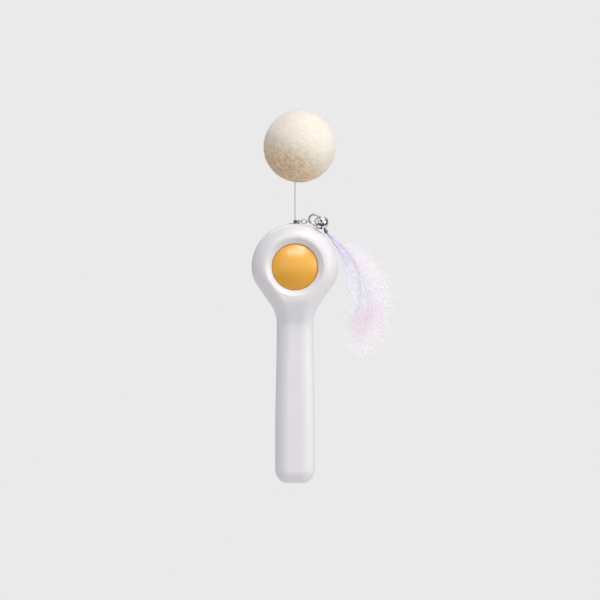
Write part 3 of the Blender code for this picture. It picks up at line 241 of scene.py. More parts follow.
def dress(obj, material, body, replaced=()):
    # give a finished piece its material, its body and the nodes that it stands for
    paint(obj, material)
    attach(obj, body)
    if replaced:
        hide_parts(*replaced)
    return obj


def feed(tree, node, inputs):
    # another node's socket is linked to an input, anything else is its value
    for key, value in inputs.items():
        if isinstance(value, bpy.types.NodeSocket):
            tree.links.new(value, node.inputs[key])
        else:
            node.inputs[key].default_value = value


def addNode(tree, kind, inputs=None, **settings):
    node = tree.nodes.new(kind)
    for key, value in settings.items():
        setattr(node, key, value)
    feed(tree, node, inputs or {})
    return node


def addMath(tree, operation, *values, clamp=False):
    inputs = dict(enumerate(values))
    return addNode(tree, "ShaderNodeMath", inputs, operation=operation, use_clamp=clamp).outputs[0]


def addVectorMath(tree, operation, *values):
    node = addNode(tree, "ShaderNodeVectorMath", dict(enumerate(values)), operation=operation)
    return usable(node.outputs)[0]


def addRange(tree, value, low, high, toLow=0.0, toHigh=1.0, kind="LINEAR"):
    inputs = {"Value": value, "From Min": low, "From Max": high, "To Min": toLow, "To Max": toHigh}
    return addNode(tree, "ShaderNodeMapRange", inputs, interpolation_type=kind).outputs["Result"]


def addNoise(tree, where, scale, detail, roughness=0.5, distortion=0.0):
    inputs = {"Vector": where, "Scale": scale, "Detail": detail,
              "Roughness": roughness, "Distortion": distortion}
    return addNode(tree, "ShaderNodeTexNoise", inputs).outputs["Fac"]


def mixedColor(tree, share, first, second):
    return addNode(tree, "ShaderNodeMix", {0: share, 6: first, 7: second}, data_type="RGBA").outputs[2]


def usable(sockets):
    # a node's sockets for the data type that it is set to
    return [socket for socket in sockets if socket.enabled]


def newGroup(name, ins, outs, kind="ShaderNodeTree"):
    # a tree with named inputs, (title, kind, value if it has one), and outputs, (title, kind)
    group = bpy.data.node_groups.new(name, kind)
    for title, socketKind, *value in ins:
        socket = group.interface.new_socket(title, in_out="INPUT", socket_type="NodeSocket" + socketKind)
        if value:
            socket.default_value = value[0]
    for title, socketKind in outs:
        group.interface.new_socket(title, in_out="OUTPUT", socket_type="NodeSocket" + socketKind)
    return group, group.nodes.new("NodeGroupInput").outputs, group.nodes.new("NodeGroupOutput")


def makeGrainGroup():
    # fine moulded or sprayed grain, with a slow drift in gloss
    group, ins, outs = newGroup(
        "surfaceGrain",
        [("Vector", "Vector"), ("Grain size", "Float", 4000.0), ("Drift size", "Float", 60.0),
         ("Low gloss", "Float", 0.3), ("High gloss", "Float", 0.4)],
        [("Height", "Float"), ("Roughness", "Float"), ("Drift", "Float")],
    )
    fine = addNoise(group, ins["Vector"], ins["Grain size"], detail=3.0, roughness=0.6)
    slow = addNoise(group, ins["Vector"], ins["Drift size"], detail=2.0)
    gloss = addRange(group, slow, 0.0, 1.0, ins["Low gloss"], ins["High gloss"])
    feed(group, outs, {"Height": fine, "Roughness": gloss, "Drift": slow})
    return group


def makeFibreGroup():
    # mottled, matted fibres for felt, braid and down
    group, ins, outs = newGroup(
        "fibreMottle",
        [("Vector", "Vector"), ("Fibre size", "Float", 1500.0), ("Clump size", "Float", 300.0),
         ("Dark", "Color", (0.6, 0.5, 0.4, 1.0)), ("Light", "Color", (0.9, 0.85, 0.75, 1.0))],
        [("Color", "Color"), ("Height", "Float")],
    )
    fibres = addNoise(group, ins["Vector"], ins["Fibre size"], detail=6.0, roughness=0.7, distortion=1.5)
    clumps = addNoise(group, ins["Vector"], ins["Clump size"], detail=4.0, roughness=0.6, distortion=0.6)
    both = addNode(group, "ShaderNodeMix", {0: 0.6, 2: clumps, 3: fibres}, data_type="FLOAT").outputs[0]
    color = mixedColor(group, addRange(group, both, 0.41, 0.58), ins["Dark"], ins["Light"])
    feed(group, outs, {"Color": color, "Height": both})
    return group


grainGroup = makeGrainGroup()
fibreGroup = makeFibreGroup()


def startMaterial(name, color, roughness, metallic=0.0, constants=None):
    material = bpy.data.materials.new(name)
    material.use_nodes = True
    tree = material.node_tree
    shader = tree.nodes["Principled BSDF"]
    feed(tree, shader, {"Base Color": (*color, 1.0), "Roughness": roughness, "Metallic": metallic,
                        **(constants or {})})
    return material, tree, shader, addNode(tree, "ShaderNodeTexCoord").outputs["Object"]


def addBump(tree, shader, height, strength, distance):
    bump = addNode(tree, "ShaderNodeBump", {"Strength": strength, "Distance": distance, "Height": height})
    feed(tree, shader, {"Normal": bump.outputs["Normal"]})


def grainedMaterial(name, color, gloss, metallic=0.0, grain=4000.0, drift=60.0,
                    bump=0.05, bumpDepth=0.02 * mm, tint=0.04, constants=None):
    # moulded plastic, plated or drawn metal: fine grain, drifting gloss, a little colour drift
    material, tree, shader, where = startMaterial(name, color, gloss[0], metallic, constants)
    inputs = {"Vector": where, "Grain size": grain, "Drift size": drift,
              "Low gloss": gloss[0], "High gloss": gloss[1]}
    grained = addNode(tree, "ShaderNodeGroup", inputs, node_tree=grainGroup).outputs
    darker, lighter = ((*[min(c * factor, 1.0) for c in color], 1.0) for factor in (1 - tint, 1 + tint))
    shade = mixedColor(tree, grained["Drift"], darker, lighter)
    feed(tree, shader, {"Roughness": grained["Roughness"], "Base Color": shade})
    addBump(tree, shader, grained["Height"], bump, bumpDepth)
    return material


def bandedMaterial(name, color, second, scale, gloss):
    # the same with a brick pattern in close tints, for boards and printed sleeves
    material = grainedMaterial(name, color, gloss)
    tree = material.node_tree
    bands = addNode(tree, "ShaderNodeTexBrick", {
        "Vector": tree.nodes["Texture Coordinate"].outputs["Object"], "Scale": scale,
        "Mortar Size": 0.03, "Bias": -0.2, "Color1": (*color, 1.0),
        "Color2": (*[c * 0.9 for c in color], 1.0), "Mortar": (*second, 1.0)})
    feed(tree, tree.nodes["Principled BSDF"], {"Base Color": bands.outputs["Color"]})
    return material


def fibreShades(tree, where, shades, fibre, clump):
    # the fibre group's outputs for a dark and a light shade
    inputs = {"Vector": where, "Fibre size": fibre, "Clump size": clump,
              "Dark": (*shades[0], 1.0), "Light": (*shades[1], 1.0)}
    return addNode(tree, "ShaderNodeGroup", inputs, node_tree=fibreGroup).outputs


def fibreMaterial(name, shades, fibre, clump, bump, bumpDepth):
    material, tree, shader, where = startMaterial(name, shades[1], 0.92)
    fibred = fibreShades(tree, where, shades, fibre, clump)
    feed(tree, shader, {"Base Color": fibred["Color"]})
    addBump(tree, shader, fibred["Height"], bump, bumpDepth)
    return material


def tintedMaterial(name, tints, heights, wander=0.7, alpha=1.0, roughness=0.85, glow=0.1):
    # pastel dye that drifts from one tint to the next down a plume or quill, with a faint painted glow in the
    # same tint
    # glow is the strength of a painted light that the down gives off in its own tint
    constants = {"Sheen Weight": 0.3, "Alpha": alpha, "Emission Strength": glow}
    material, tree, shader, where = startMaterial(name, tints[0][1], roughness, constants=constants)
    split = addNode(tree, "ShaderNodeSeparateXYZ", {"Vector": where})
    down = addRange(tree, split.outputs["Z"], *heights)
    patch = addNoise(tree, where, scale=70.0, detail=2.0, distortion=0.8)
    stray = addMath(tree, "MULTIPLY_ADD", patch, wander, -wander / 2)
    ramp = addNode(tree, "ShaderNodeValToRGB", {"Fac": addMath(tree, "ADD", down, stray, clamp=True)})
    elements = ramp.color_ramp.elements
    while len(elements) < len(tints):
        elements.new(0.5)
    for element, (share, color) in zip(elements, tints):
        element.position = share
        element.color = (*color, 1.0)
    feed(tree, shader, {"Base Color": ramp.outputs["Color"]})
    if glow:
        feed(tree, shader, {"Emission Color": ramp.outputs["Color"]})  # painted light: the down glows in its own tint, standing in for light that would come through it
    return material


def streaked(material, most):
    # make a vane thin: streaks that run out along its barbs, and nothing left at its edges
    tree = material.node_tree
    place = addNode(tree, "ShaderNodeUVMap", uv_map="alongAndAcross").outputs["UV"]
    across = addNode(tree, "ShaderNodeSeparateXYZ", {"Vector": place}).outputs["Y"]
    fromMiddle = addMath(tree, "ABSOLUTE", addMath(tree, "MULTIPLY_ADD", across, 2.0, -1.0))
    fade = addRange(tree, fromMiddle, 0.15, 1.0, 1.0, 0.0, "SMOOTHSTEP")
    stretched = addNode(tree, "ShaderNodeMapping", {"Vector": place, "Scale": (55.0, 1.6, 1.0)})
    streak = addNoise(tree, stretched.outputs["Vector"], scale=1.0, detail=5.0, roughness=0.65,
                      distortion=0.3)
    kept = addMath(tree, "MULTIPLY", addRange(tree, streak, 0.35, 0.68, 0.1, most), fade, clamp=True)
    feed(tree, tree.nodes["Principled BSDF"], {"Alpha": kept})
    return material


pinkTints = [(0.0, (0.93, 0.89, 0.98)), (0.3, (0.99, 0.90, 0.96)), (0.55, (0.95, 0.95, 1.0)),
             (0.75, (0.99, 0.83, 0.94)), (1.0, (0.99, 0.95, 0.98))]
lilacTints = [(0.0, (0.76, 0.69, 0.94)), (0.4, (0.88, 0.88, 0.99)), (1.0, (0.92, 0.95, 1.0))]
hornTints = [(0.0, (0.20, 0.15, 0.20)), (0.35, (0.50, 0.43, 0.55)), (1.0, (0.88, 0.84, 0.92))]
pinkHeights = (150 * mm, 80 * mm)
lilacHeights = (148 * mm, 108 * mm)
finishes = {
    "shell": grainedMaterial("shellPlastic", (0.84, 0.825, 0.835), (0.34, 0.42), grain=5200.0, drift=45.0,
                             bump=0.04, bumpDepth=0.01 * mm, tint=0.012),
    "yolk": grainedMaterial("yolkPlastic", (0.94, 0.45, 0.022), (0.30, 0.36), grain=4200.0, drift=70.0,
                            bump=0.03, bumpDepth=0.01 * mm, tint=0.03,
                            constants={"Coat Weight": 1.0, "Coat Roughness": 0.26, "Coat IOR": 1.75}),
    "nylon": grainedMaterial("naturalNylon", (0.78, 0.77, 0.72), (0.42, 0.5), grain=3000.0),
    "gear": grainedMaterial("dyedAcetal", (0.30, 0.42, 0.58), (0.4, 0.5), grain=3000.0),
    "black": grainedMaterial("blackMoulding", (0.03, 0.03, 0.034), (0.4, 0.5), grain=3500.0),
    "board": bandedMaterial("boardMask", (0.04, 0.24, 0.10), (0.30, 0.34, 0.10), scale=380.0,
                            gloss=(0.35, 0.45)),
    "steel": grainedMaterial("platedSteel", (0.50, 0.49, 0.49), (0.22, 0.34), metallic=1.0, grain=2600.0,
                             drift=500.0, bump=0.08, tint=0.10),
    "darkSteel": grainedMaterial("darkPlatedSteel", (0.17, 0.155, 0.15), (0.20, 0.32), metallic=1.0,
                                 grain=2600.0, drift=600.0, bump=0.08, tint=0.12),
    "spring": grainedMaterial("springWire", (0.42, 0.42, 0.43), (0.24, 0.34), metallic=1.0, grain=3000.0,
                              tint=0.08),
    "chrome": grainedMaterial("brightPlate", (0.86, 0.84, 0.84), (0.03, 0.07), metallic=1.0, grain=2000.0,
                              drift=420.0, bump=0.03, tint=0.06),
    "nickel": grainedMaterial("nickelPlate", (0.40, 0.365, 0.35), (0.07, 0.13), metallic=1.0, grain=2000.0,
                              drift=420.0, bump=0.04, tint=0.08),
    "brass": grainedMaterial("turnedBrass", (0.76, 0.56, 0.26), (0.25, 0.35), metallic=1.0, grain=2500.0,
                             tint=0.06),
    "cell": bandedMaterial("cellSleeve", (0.09, 0.20, 0.36), (0.07, 0.17, 0.32), scale=60.0,
                           gloss=(0.28, 0.36)),
    "leadRed": grainedMaterial("redInsulation", (0.58, 0.03, 0.03), (0.42, 0.5), grain=2500.0),
    "leadBlack": grainedMaterial("blackInsulation", (0.02, 0.02, 0.02), (0.42, 0.5), grain=2500.0),
    "line": fibreMaterial("braidedLine", ((0.70, 0.69, 0.66), (0.86, 0.86, 0.84)), fibre=5200.0,
                          clump=1800.0, bump=0.4, bumpDepth=0.05 * mm),
    "quill": tintedMaterial("quillHorn", hornTints, (149 * mm, 128 * mm), wander=0.1, roughness=0.45,
                            glow=0.0),
    "pinkDown": tintedMaterial("pinkDown", pinkTints, pinkHeights, alpha=0.30),
    "pinkVane": streaked(tintedMaterial("pinkVane", pinkTints, pinkHeights), 0.42),
    "lilacDown": tintedMaterial("lilacDown", lilacTints, lilacHeights, alpha=0.34),
    "lilacVane": streaked(tintedMaterial("lilacVane", lilacTints, lilacHeights), 0.5),
}
print("materials made:", len(finishes))


def geometryTree(name, sockets):
    # geometry nodes: every tree takes a base, its own sizes, a seed and a finish
    return newGroup(name, [("Geometry", "Geometry"), *sockets, ("Seed", "Int"), ("Finish", "Material")],
                    [("Geometry", "Geometry")], "GeometryNodeTree")


def addCopies(tree, ins, outs, shape, points, rotation, scale):
    # a copy of a shape on each point, as real faces with their finish
    copy = addNode(tree, "GeometryNodeObjectInfo", {"Object": shape}).outputs["Geometry"]
    copies = addNode(tree, "GeometryNodeInstanceOnPoints",
                     {"Points": points, "Instance": copy, "Rotation": rotation, "Scale": scale})
    real = addNode(tree, "GeometryNodeRealizeInstances", {"Geometry": copies.outputs["Instances"]})
    painted = addNode(tree, "GeometryNodeSetMaterial",
                      {"Geometry": real.outputs["Geometry"], "Material": ins["Finish"]})
    feed(tree, outs, {"Geometry": painted.outputs["Geometry"]})


def addChance(tree, kind, low, high, seed):
    node = addNode(tree, "FunctionNodeRandomValue", {"Seed": seed}, data_type=kind)
    inputs = list(node.inputs)
    feed(tree, node, {inputs.index(socket): value for socket, value in zip(usable(inputs), (low, high))})
    return usable(node.outputs)[0]


def makeCopiesTree():
    # one copy on each point, turned about its own axis by chance
    tree, ins, outs = geometryTree("copiesOnPoints",
                                   [("Shape", "Object"), ("Size", "Float"), ("Turn about its axis", "Float")])
    chance = addChance(tree, "FLOAT_VECTOR", (0, 0, -1), (0, 0, 1), ins["Seed"])
    spin = addNode(tree, "ShaderNodeVectorMath", {0: chance, "Scale": ins["Turn about its axis"]},
                   operation="SCALE")
    addCopies(tree, ins, outs, ins["Shape"], ins["Geometry"], spin.outputs["Vector"], ins["Size"])
    return tree


def grow(name, base, tree, values, angle=40, matrix=None):
    # run a geometry nodes tree on a base object and keep the result as a plain mesh
    modifier = base.modifiers.new(name, "NODES")
    modifier.node_group = tree
    ids = {item.name: item.identifier for item in tree.interface.items_tree if item.in_out == "INPUT"}
    for title, value in values.items():
        modifier[ids[title]] = value
    base.name = name
    made = applied(base, angle)
    if matrix is not None:
        made.data.transform(matrix)
    return made


copiesTree = makeCopiesTree()

casing = {
    "headHeight": 129.5 * mm,
    "headRadius": 26.0 * mm,
    "cheekRadius": 19.8 * mm,
    "cheekTurn": math.radians(35),
    "filletRadius": 19.8 * mm,
    "neckHalfWidth": 10.9 * mm,
    "gripHalfWidth": 11.9 * mm,
    "gripHeight": 25.7 * mm,
    "cornerRadius": 8.6 * mm,
    "endTrim": 0.6 * mm,
    "headFront": 15.0 * mm,
    "handleFront": 9.0 * mm,
    "rear": 11.0 * mm,
    "headEdge": 8.6 * mm,
    "handleEdge": 8.0 * mm,
    "rearEdge": 4.0 * mm,
    "slopeBottom": 93.5 * mm,
    "slopeLength": 17.5 * mm,
    "land": 1.0 * mm,
    "seam": 0.15 * mm,
    "hollowOverlap": 1.0 * mm,
    "wall": 1.8 * mm,
    "boreRadius": 13.95 * mm,
    "boreFoot": 5 * mm,
    "boreRound": 0.3 * mm,
    "boreRoundDepth": 0.18 * mm,
    "dishDepth": 2.4 * mm,
    "lipRadius": 17.5 * mm,
    "lipSoftness": 0.4,
    "padRadius": 19.0 * mm,
    "padBack": 10.8 * mm,
    "outside": 30 * mm,
    "below": -9 * mm,
    "screwCircle": 19.8 * mm,
    "counterbore": [(0, 14), (2.5, 14), (2.5, 11.05), (2.22, 10.95), (2.1, 10.75), (2.1, 9.3),
                    (0, 9.3)],  # in mm
    "headSteps": 36,
    "cheekSteps": 14,
    "flankSteps": 8,
    "filletSteps": 16,
    "handleSteps": 33,
    "endSteps": 8,
    "cornerSteps": 20,
    "edgeTurns": (0, 6, 12, 18, 24, 30, 36, 42, 48, 54, 60, 66, 72, 76, 79, 81.5, 84, 86, 88, 90),  # degrees
}

# where the flat middle of a shell gets its points
shellGrid = {
    "rings": 15,
    "ringSteps": 144,
    "ringStart": 13.2 * mm,
    "ringSpan": 4.1 * mm,
    "lowRings": (17.6, 17.9, 18.2, 18.6, 19.2, 20.0),  # in mm, under the dish only
    "lowArc": (math.radians(-125), math.radians(-55)),
    "lowSteps": 34,
    "rowStart": 9.5 * mm,
    "rowEnd": 112 * mm,
    "coarseRow": 3.0 * mm,
    "fineRow": 1.1 * mm,
    "fineFrom": 90 * mm,
    "pitch": 1.45 * mm,
    "halfCount": 12,
    "dishReach": 20.3 * mm,
    "edgeGap": 0.3 * mm,
}


def slopeShare(z):
    return eased(min(max((z - casing["slopeBottom"]) / casing["slopeLength"], 0), 1))


def frontDepth(z):
    return between(casing["handleFront"], casing["headFront"], slopeShare(z))


def outlineStations():
    # right-hand outline from the head's top to the handle's end, with inward directions
    c = casing
    turn, fillet, neck, grip = c["cheekTurn"], c["filletRadius"], c["neckHalfWidth"], c["gripHalfWidth"]
    stations = []

    def addArc(radius, start, end, steps, centre, skipped=0):
        for x, z in arcPoints(radius, start, end, steps)[skipped:]:
            stations.append((centre[0] + x, centre[1] + z, -x / radius, -z / radius))

    addArc(c["headRadius"], quarter, 0, c["headSteps"], (0, c["headHeight"]))
    cheekX = c["headRadius"] - c["cheekRadius"]
    addArc(c["cheekRadius"], 0, -turn, c["cheekSteps"], (cheekX, c["headHeight"]), 1)
    startX, startZ = stations[-1][:2]
    endX = neck + fillet * (1 - math.cos(turn))
    endZ = startZ - (startX - endX) / math.tan(turn)
    for share in shares(c["flankSteps"]):
        x, z = between(startX, endX, share), between(startZ, endZ, share)
        stations.append((x, z, -math.cos(turn), math.sin(turn)))
    neckZ = endZ - fillet * math.sin(turn)
    for share in shares(c["filletSteps"]):
        t = turn * (1 - share)
        x, z = neck + fillet * (1 - math.cos(t)), neckZ + fillet * math.sin(t)
        stations.append((x, z, -math.cos(t), math.sin(t)))
    for share in shares(c["handleSteps"]):
        x, z = between(neck, grip, eased(share)), between(neckZ, c["gripHeight"], share)
        stations.append((x, z, -1.0, 0.0))
    cornerX, cornerZ = grip - c["cornerRadius"], c["cornerRadius"] - c["endTrim"]
    for share in shares(c["endSteps"])[:-1]:
        stations.append((grip, between(c["gripHeight"], cornerZ, share), -1.0, 0.0))
    addArc(c["cornerRadius"], 0, -quarter, c["cornerSteps"], (cornerX, cornerZ))
    return stations + [(x, -c["endTrim"], 0.0, 1.0) for x in (cornerX / 2, 0.0)]


def dishDrop(x, z):
    # how far the dish lies behind the head's front
    c = casing
    r = math.hypot(x, z - c["headHeight"])
    if r >= c["lipRadius"]:
        return 0.0
    share = min((c["lipRadius"] - r) / (c["lipRadius"] - c["boreRadius"]), 1)
    rounded = 0.5 - 0.5 * math.cos(math.pi * share)
    drop = c["dishDepth"] * between(share, rounded, c["lipSoftness"])
    edge = c["boreRadius"] + c["boreRound"]
    return drop + c["boreRoundDepth"] * (max(edge - r, 0.0) / c["boreRound"]) ** 2


def insideLoop(point, loop, margin):
    # even-odd test, with a least distance to the loop's corners
    inside = False
    for a, b in zip(loop, loop[1:] + loop[:1]):
        if margin and (a - point).length < margin:
            return False
        if (a.y > point.y) != (b.y > point.y):
            if point.x < (b.x - a.x) * (point.y - a.y) / (b.y - a.y) + a.x:
                inside = not inside
    return inside


def gridPoints(dished):
    # rings round the dish, then rows that lie closer on the slope under the head
    g = shellGrid
    centre = Vector((0, casing["headHeight"]))
    points = []
    if dished:
        for number in range(g["rings"]):
            r = g["ringStart"] + g["ringSpan"] * number / (g["rings"] - 1)
            points += [centre + Vector(p) for p in arcPoints(r, 0, math.tau, g["ringSteps"])[:-1]]
        for r in g["lowRings"]:
            points += [centre + Vector(p) for p in arcPoints(r * mm, *g["lowArc"], g["lowSteps"])]
    z = g["rowStart"]
    while z < g["rowEnd"]:
        row = [Vector((step * g["pitch"], z)) for step in range(-g["halfCount"], g["halfCount"] + 1)]
        points += [p for p in row if (p - centre).length > g["dishReach"]]
        z += g["fineRow"] if z > g["fineFrom"] else g["coarseRow"]
    return points


def casingSolid(name, front, inset=0.0):
    # one half of the casing, or with an inset the hollow in it: a loft round its edge, then a flat middle
    c = casing
    turns = [math.radians(t) for t in c["edgeTurns"]]
    start = -c["hollowOverlap"] if inset else c["seam"]
    foot = c["seam"] + c["land"]
    side = -1 if front else 1
    dished = front and not inset

    def depthAt(x, z):
        # without the dish, and how far the dish drops
        return (frontDepth(z) if front else c["rear"]) - inset, dishDrop(x, z) if dished else 0.0

    bm = bmesh.new()
    half = []
    for x, z, nx, nz in outlineStations():
        edge = between(c["handleEdge"], c["headEdge"], slopeShare(z)) if front else c["rearEdge"]
        row = [(x + nx * inset, start, z + nz * inset)]
        for turn in turns:
            reach = inset + (edge - inset) * (1 - math.cos(turn))
            px, pz = x + nx * reach, z + nz * reach
            full, drop = depthAt(px, pz)
            row.append((max(px, 0.0), between(foot, full, math.sin(turn)) - drop, pz))
        half.append(row)
    loop = half + [[(-x, y, z) for x, y, z in row] for row in half[-2:0:-1]]
    made = [[bm.verts.new((x, side * y, z)) for x, y, z in row] for row in loop]
    for near, far in zip(made, made[1:] + made[:1]):
        for a, b, d, e in zip(near, near[1:], far[1:], far):
            bm.faces.new((a, b, d, e))
    bm.faces.new([row[0] for row in made])
    rim = [row[-1] for row in made]
    flat = [Vector((v.co.x, v.co.z)) for v in rim]
    middles = gridPoints(dished) if front else []
    points = flat + [p for p in middles if insideLoop(p, flat, shellGrid["edgeGap"])]
    found, _, faces, origins, _, _ = delaunay_2d_cdt(points, chained(flat, True), [], 1, sliver)
    corners = []
    for p, origin in zip(found, origins):
        first = [i for i in origin if i < len(rim)]
        full, drop = depthAt(p.x, p.y)
        corners.append(rim[first[0]] if first else bm.verts.new((p.x, side * (full - drop), p.y)))
    for face in faces:
        middle = sum((found[i] for i in face), Vector((0, 0))) / len(face)
        if insideLoop(middle, flat, 0):
            bm.faces.new([corners[i] for i in face])
    bmesh.ops.delete(bm, geom=[v for v in bm.verts if not v.link_faces], context="VERTS")
    bmesh.ops.recalc_face_normals(bm, faces=bm.faces)
    return meshFromBmesh(name, bm)


def screwPlaces():
    reach = casing["screwCircle"] * math.sqrt(0.5)
    return [(x * reach, casing["headHeight"] + z * reach) for x in (-1, 1) for z in (1, -1)]


eyelet = {
    "seat": 154.5 * mm,
    # both outlines in mm
    "seatOutline": [(0, 3), (3.8, 3), (3.8, 0.15), (3.75, 0.04), (3.6, 0), (2.05, 0), (2.05, -7), (0, -7)],
    "rimOutline": [(3.25, 0.85), (3.42, 0.79), (3.5, 0.6), (3.5, 0.1), (3.4, 0), (1.9, 0), (1.9, -4),
                   (1.2, -4)],
    "lift": 0.3 * mm,
    "bore": 1.2 * mm,
    "throat": 0.85 * mm,
}

batteryDoor = {
    "halfWidth": 5.6 * mm,
    "gap": 0.25 * mm,
    "top": 94.8 * mm,
    "front": 8.0 * mm,
    "outside": 14 * mm,
    "below": -15 * mm,
    "tongue": 0.9 * mm,
    "tongueRoot": 5 * mm,
    "tongueGap": 0.3 * mm,
    "rail": 1.0 * mm,
    "pocketFront": 5 * mm,
    "pocketFoot": 7.5 * mm,
    "lintel": 1.0 * mm,
    "grooves": 5,
    "groovePitch": 1.8 * mm,
    "grooveWidth": 0.8 * mm,
    "grooveDepth": 0.4 * mm,
    "grooveHalfLength": 4.6 * mm,
    "grooveRound": 0.25 * mm,
    "grooveStart": 14.4 * mm,
}


def eyeletCutter(name):
    return turned(name, inMm(eyelet["seatOutline"]), steps=64, matrix=at(0, 0, eyelet["seat"]))


def endCutter(name):
    # what lies below the handle's flat end
    out = casing["outside"]
    return boxMesh(name, (-out, -out, casing["below"]), (out, out, 0.0))


def makeFront():
    c = casing
    head = at(0, 0, c["headHeight"], facingFront)
    front = casingSolid("front_shell_skin", True)
    pad = cylinder("dishPad", c["padRadius"], c["padBack"], c["outside"], head)
    hollow = combine(casingSolid("frontHollow", True, c["wall"]), [pad])
    bore = cylinder("buttonBore", c["boreRadius"], c["boreFoot"], c["outside"], head, steps=192)
    front = combine(front, [hollow, bore, eyeletCutter("frontEyeletCutter"), endCutter("frontEnd")])
    dress(front, finishes["shell"], "casing", ["front_shell"])
    print("front shell:", len(front.data.polygons), "faces")


def makeRear(rear):
    c, d = casing, batteryDoor
    slot = d["halfWidth"] + d["gap"]
    cutters = [
        casingSolid("rearHollow", False, c["wall"]),
        eyeletCutter("rearEyeletCutter"),
        boxMesh("doorSlot", (-slot, d["front"] - d["gap"], d["below"]),
                (slot, d["outside"], d["top"] + d["gap"])),
        endCutter("rearEnd"),
    ]
    for number, (x, z) in enumerate(screwPlaces()):
        place = at(x, 0, z, facingBack)
        cutters.append(turned(f"counterbore{number}", inMm(c["counterbore"]), steps=48, matrix=place))
    rear = combine(rear, cutters)
    dress(rear, finishes["shell"], "casing", ["rear_shell"])
    print("rear shell:", len(rear.data.polygons), "faces")


def makeDoor(door):
    # the door is a slice of the rear shell, with tongues at its sides, a hollow and grip grooves
    c, d = casing, batteryDoor
    side, inner, back = d["halfWidth"], d["halfWidth"] - d["rail"], c["rear"] - c["wall"]
    stock = boxMesh("doorStock", (-side, d["front"], 0.0), (side, d["outside"], d["top"]))
    door = combine(door, [stock], "INTERSECT")
    tongues = []
    for way in (-1, 1):
        low, high = sorted((way * d["tongueRoot"], way * (side + d["tongue"])))
        tongues.append(boxMesh(f"tongue{way}", (low, d["front"], c["cornerRadius"]),
                               (high, back - d["tongueGap"], d["top"])))
    door = combine(door, tongues, "UNION")
    pocket = boxMesh("doorPocket", (-inner, d["pocketFront"], d["pocketFoot"]),
                     (inner, back, d["top"] - d["lintel"]))
    half = Vector((d["grooveHalfLength"], d["grooveDepth"], d["grooveWidth"] / 2))
    bar = boxMesh("grooveBar", -half, half, d["grooveRound"])
    places = [(0, c["rear"], d["grooveStart"] + number * d["groovePitch"]) for number in range(d["grooves"])]
    values = {"Shape": bar, "Size": 1.0, "Turn about its axis": 0.0, "Seed": 1, "Finish": finishes["shell"]}
    grooves = grow("gripGrooves", plainMesh("groovePlaces", places), copiesTree, values)
    removeObject(bar)
    door = combine(door, [pocket, grooves])
    dress(door, finishes["shell"], "door", ["battery_door"])
    print("battery door:", len(door.data.polygons), "faces")


def makeCasing():
    makeFront()
    rear = casingSolid("rear_shell_skin", False)
    door = linked("battery_door_skin", rear.data.copy())
    makeRear(rear)
    makeDoor(door)


caseScrew = {
    "top": 10.7 * mm,
    "outline": [(0, -0.02), (1.08, 0), (1.548, -0.1), (1.746, -0.3), (1.8, -0.55), (1.8, -1.4), (1.1, -1.4),
                (1.1, -12), (0, -13)],  # in mm, down from its head's top
    "recessDepth": 0.55 * mm,
    "recessReach": 1.05 * mm,
    "recessHalfWidth": 0.22 * mm,
    "recessRound": 0.06 * mm,
    "above": 1 * mm,
    "recessCone": [(0, 0.1), (0.5, 0.1), (0.28, -0.9), (0, -1)],
    "turnSpread": 1.5,
    "seed": 4,
}


def makeScrews():
    s = caseScrew
    head = turned("screwShape", inMm(s["outline"]), steps=40)
    sides = (s["recessReach"], s["recessHalfWidth"])
    arms = [boxMesh(f"recessArm{number}", (-x, -y, -s["recessDepth"]), (x, y, s["above"]), s["recessRound"])
            for number, (x, y) in enumerate((sides, sides[::-1]))]
    head = combine(head, [*arms, turned("recessCone", inMm(s["recessCone"]), steps=24)])
    base = plainMesh("screwPlaces", [(x, -z, s["top"]) for x, z in screwPlaces()])
    values = {"Shape": head, "Size": 1.0, "Turn about its axis": s["turnSpread"], "Seed": s["seed"],
              "Finish": finishes["steel"]}
    screws = grow("case_screw_set", base, copiesTree, values, matrix=facingBack)
    removeObject(head)
    dress(screws, finishes["steel"], "casing", [f"case_screw_{n}" for n in (1, 2, 3, 4)])
    print("case screws:", len(screws.data.polygons), "faces")


yolkButton = {
    "radius": 13.6 * mm,
    "top": 16.2 * mm,
    "sag": 3.3 * mm,
    "crown": 2.2,
    "crownSteps": 30,
    "edgeRound": 0.75 * mm,
    "edgeSteps": 10,
    "wall": 1.6 * mm,
    "foot": 9.3 * mm,
    "flange": 15.2 * mm,
    "flangeFront": 10.5 * mm,
    "underside": [(11.7, 11), (2.2, 13.6), (2.2, 10.8), (0, 10.8)],  # in mm
}


def makeButton():
    s = yolkButton
    r, e, flange = s["radius"], s["edgeRound"], s["flange"]
    rim = r - e
    fromMiddle = (0, *shares(s["crownSteps"]))
    profile = [(rim * share, s["top"] - s["sag"] * share ** s["crown"]) for share in fromMiddle]
    slope = math.atan(s["crown"] * s["sag"] / rim)
    centre = (rim - e * math.sin(slope), profile[-1][1] - e * math.cos(slope))
    shift = r - (centre[0] + e)
    for share in shares(s["edgeSteps"]):
        t = (quarter - slope) * (1 - share)
        profile.append((centre[0] + e * math.cos(t) + shift * share, centre[1] + e * math.sin(t)))
    profile += [(r, s["flangeFront"]), (flange, s["flangeFront"]), (flange, s["foot"]),
                (r - s["wall"], s["foot"]), *inMm(s["underside"])]
    place = at(0, 0, casing["headHeight"], facingFront)
    button = turned("yolk_button_dome", profile, steps=128, matrix=place, angle=40)
    dress(button, finishes["yolk"], "button", ["yolk_button"])
    print("button:", len(button.data.polygons), "faces")


def makeEyelet():
    e = eyelet
    profile = [*inMm(e["rimOutline"]), (e["bore"], 0)]
    profile += arcPoints(e["throat"], math.pi, quarter, 6, (e["bore"] + e["throat"], 0))[1:]
    rim = turned("line_eyelet_rim", profile, steps=64, closed=True, matrix=at(0, 0, e["seat"] + e["lift"]))
    dress(rim, finishes["darkSteel"], "casing", ["line_eyelet"])
    print("eyelet:", len(rim.data.polygons), "faces")


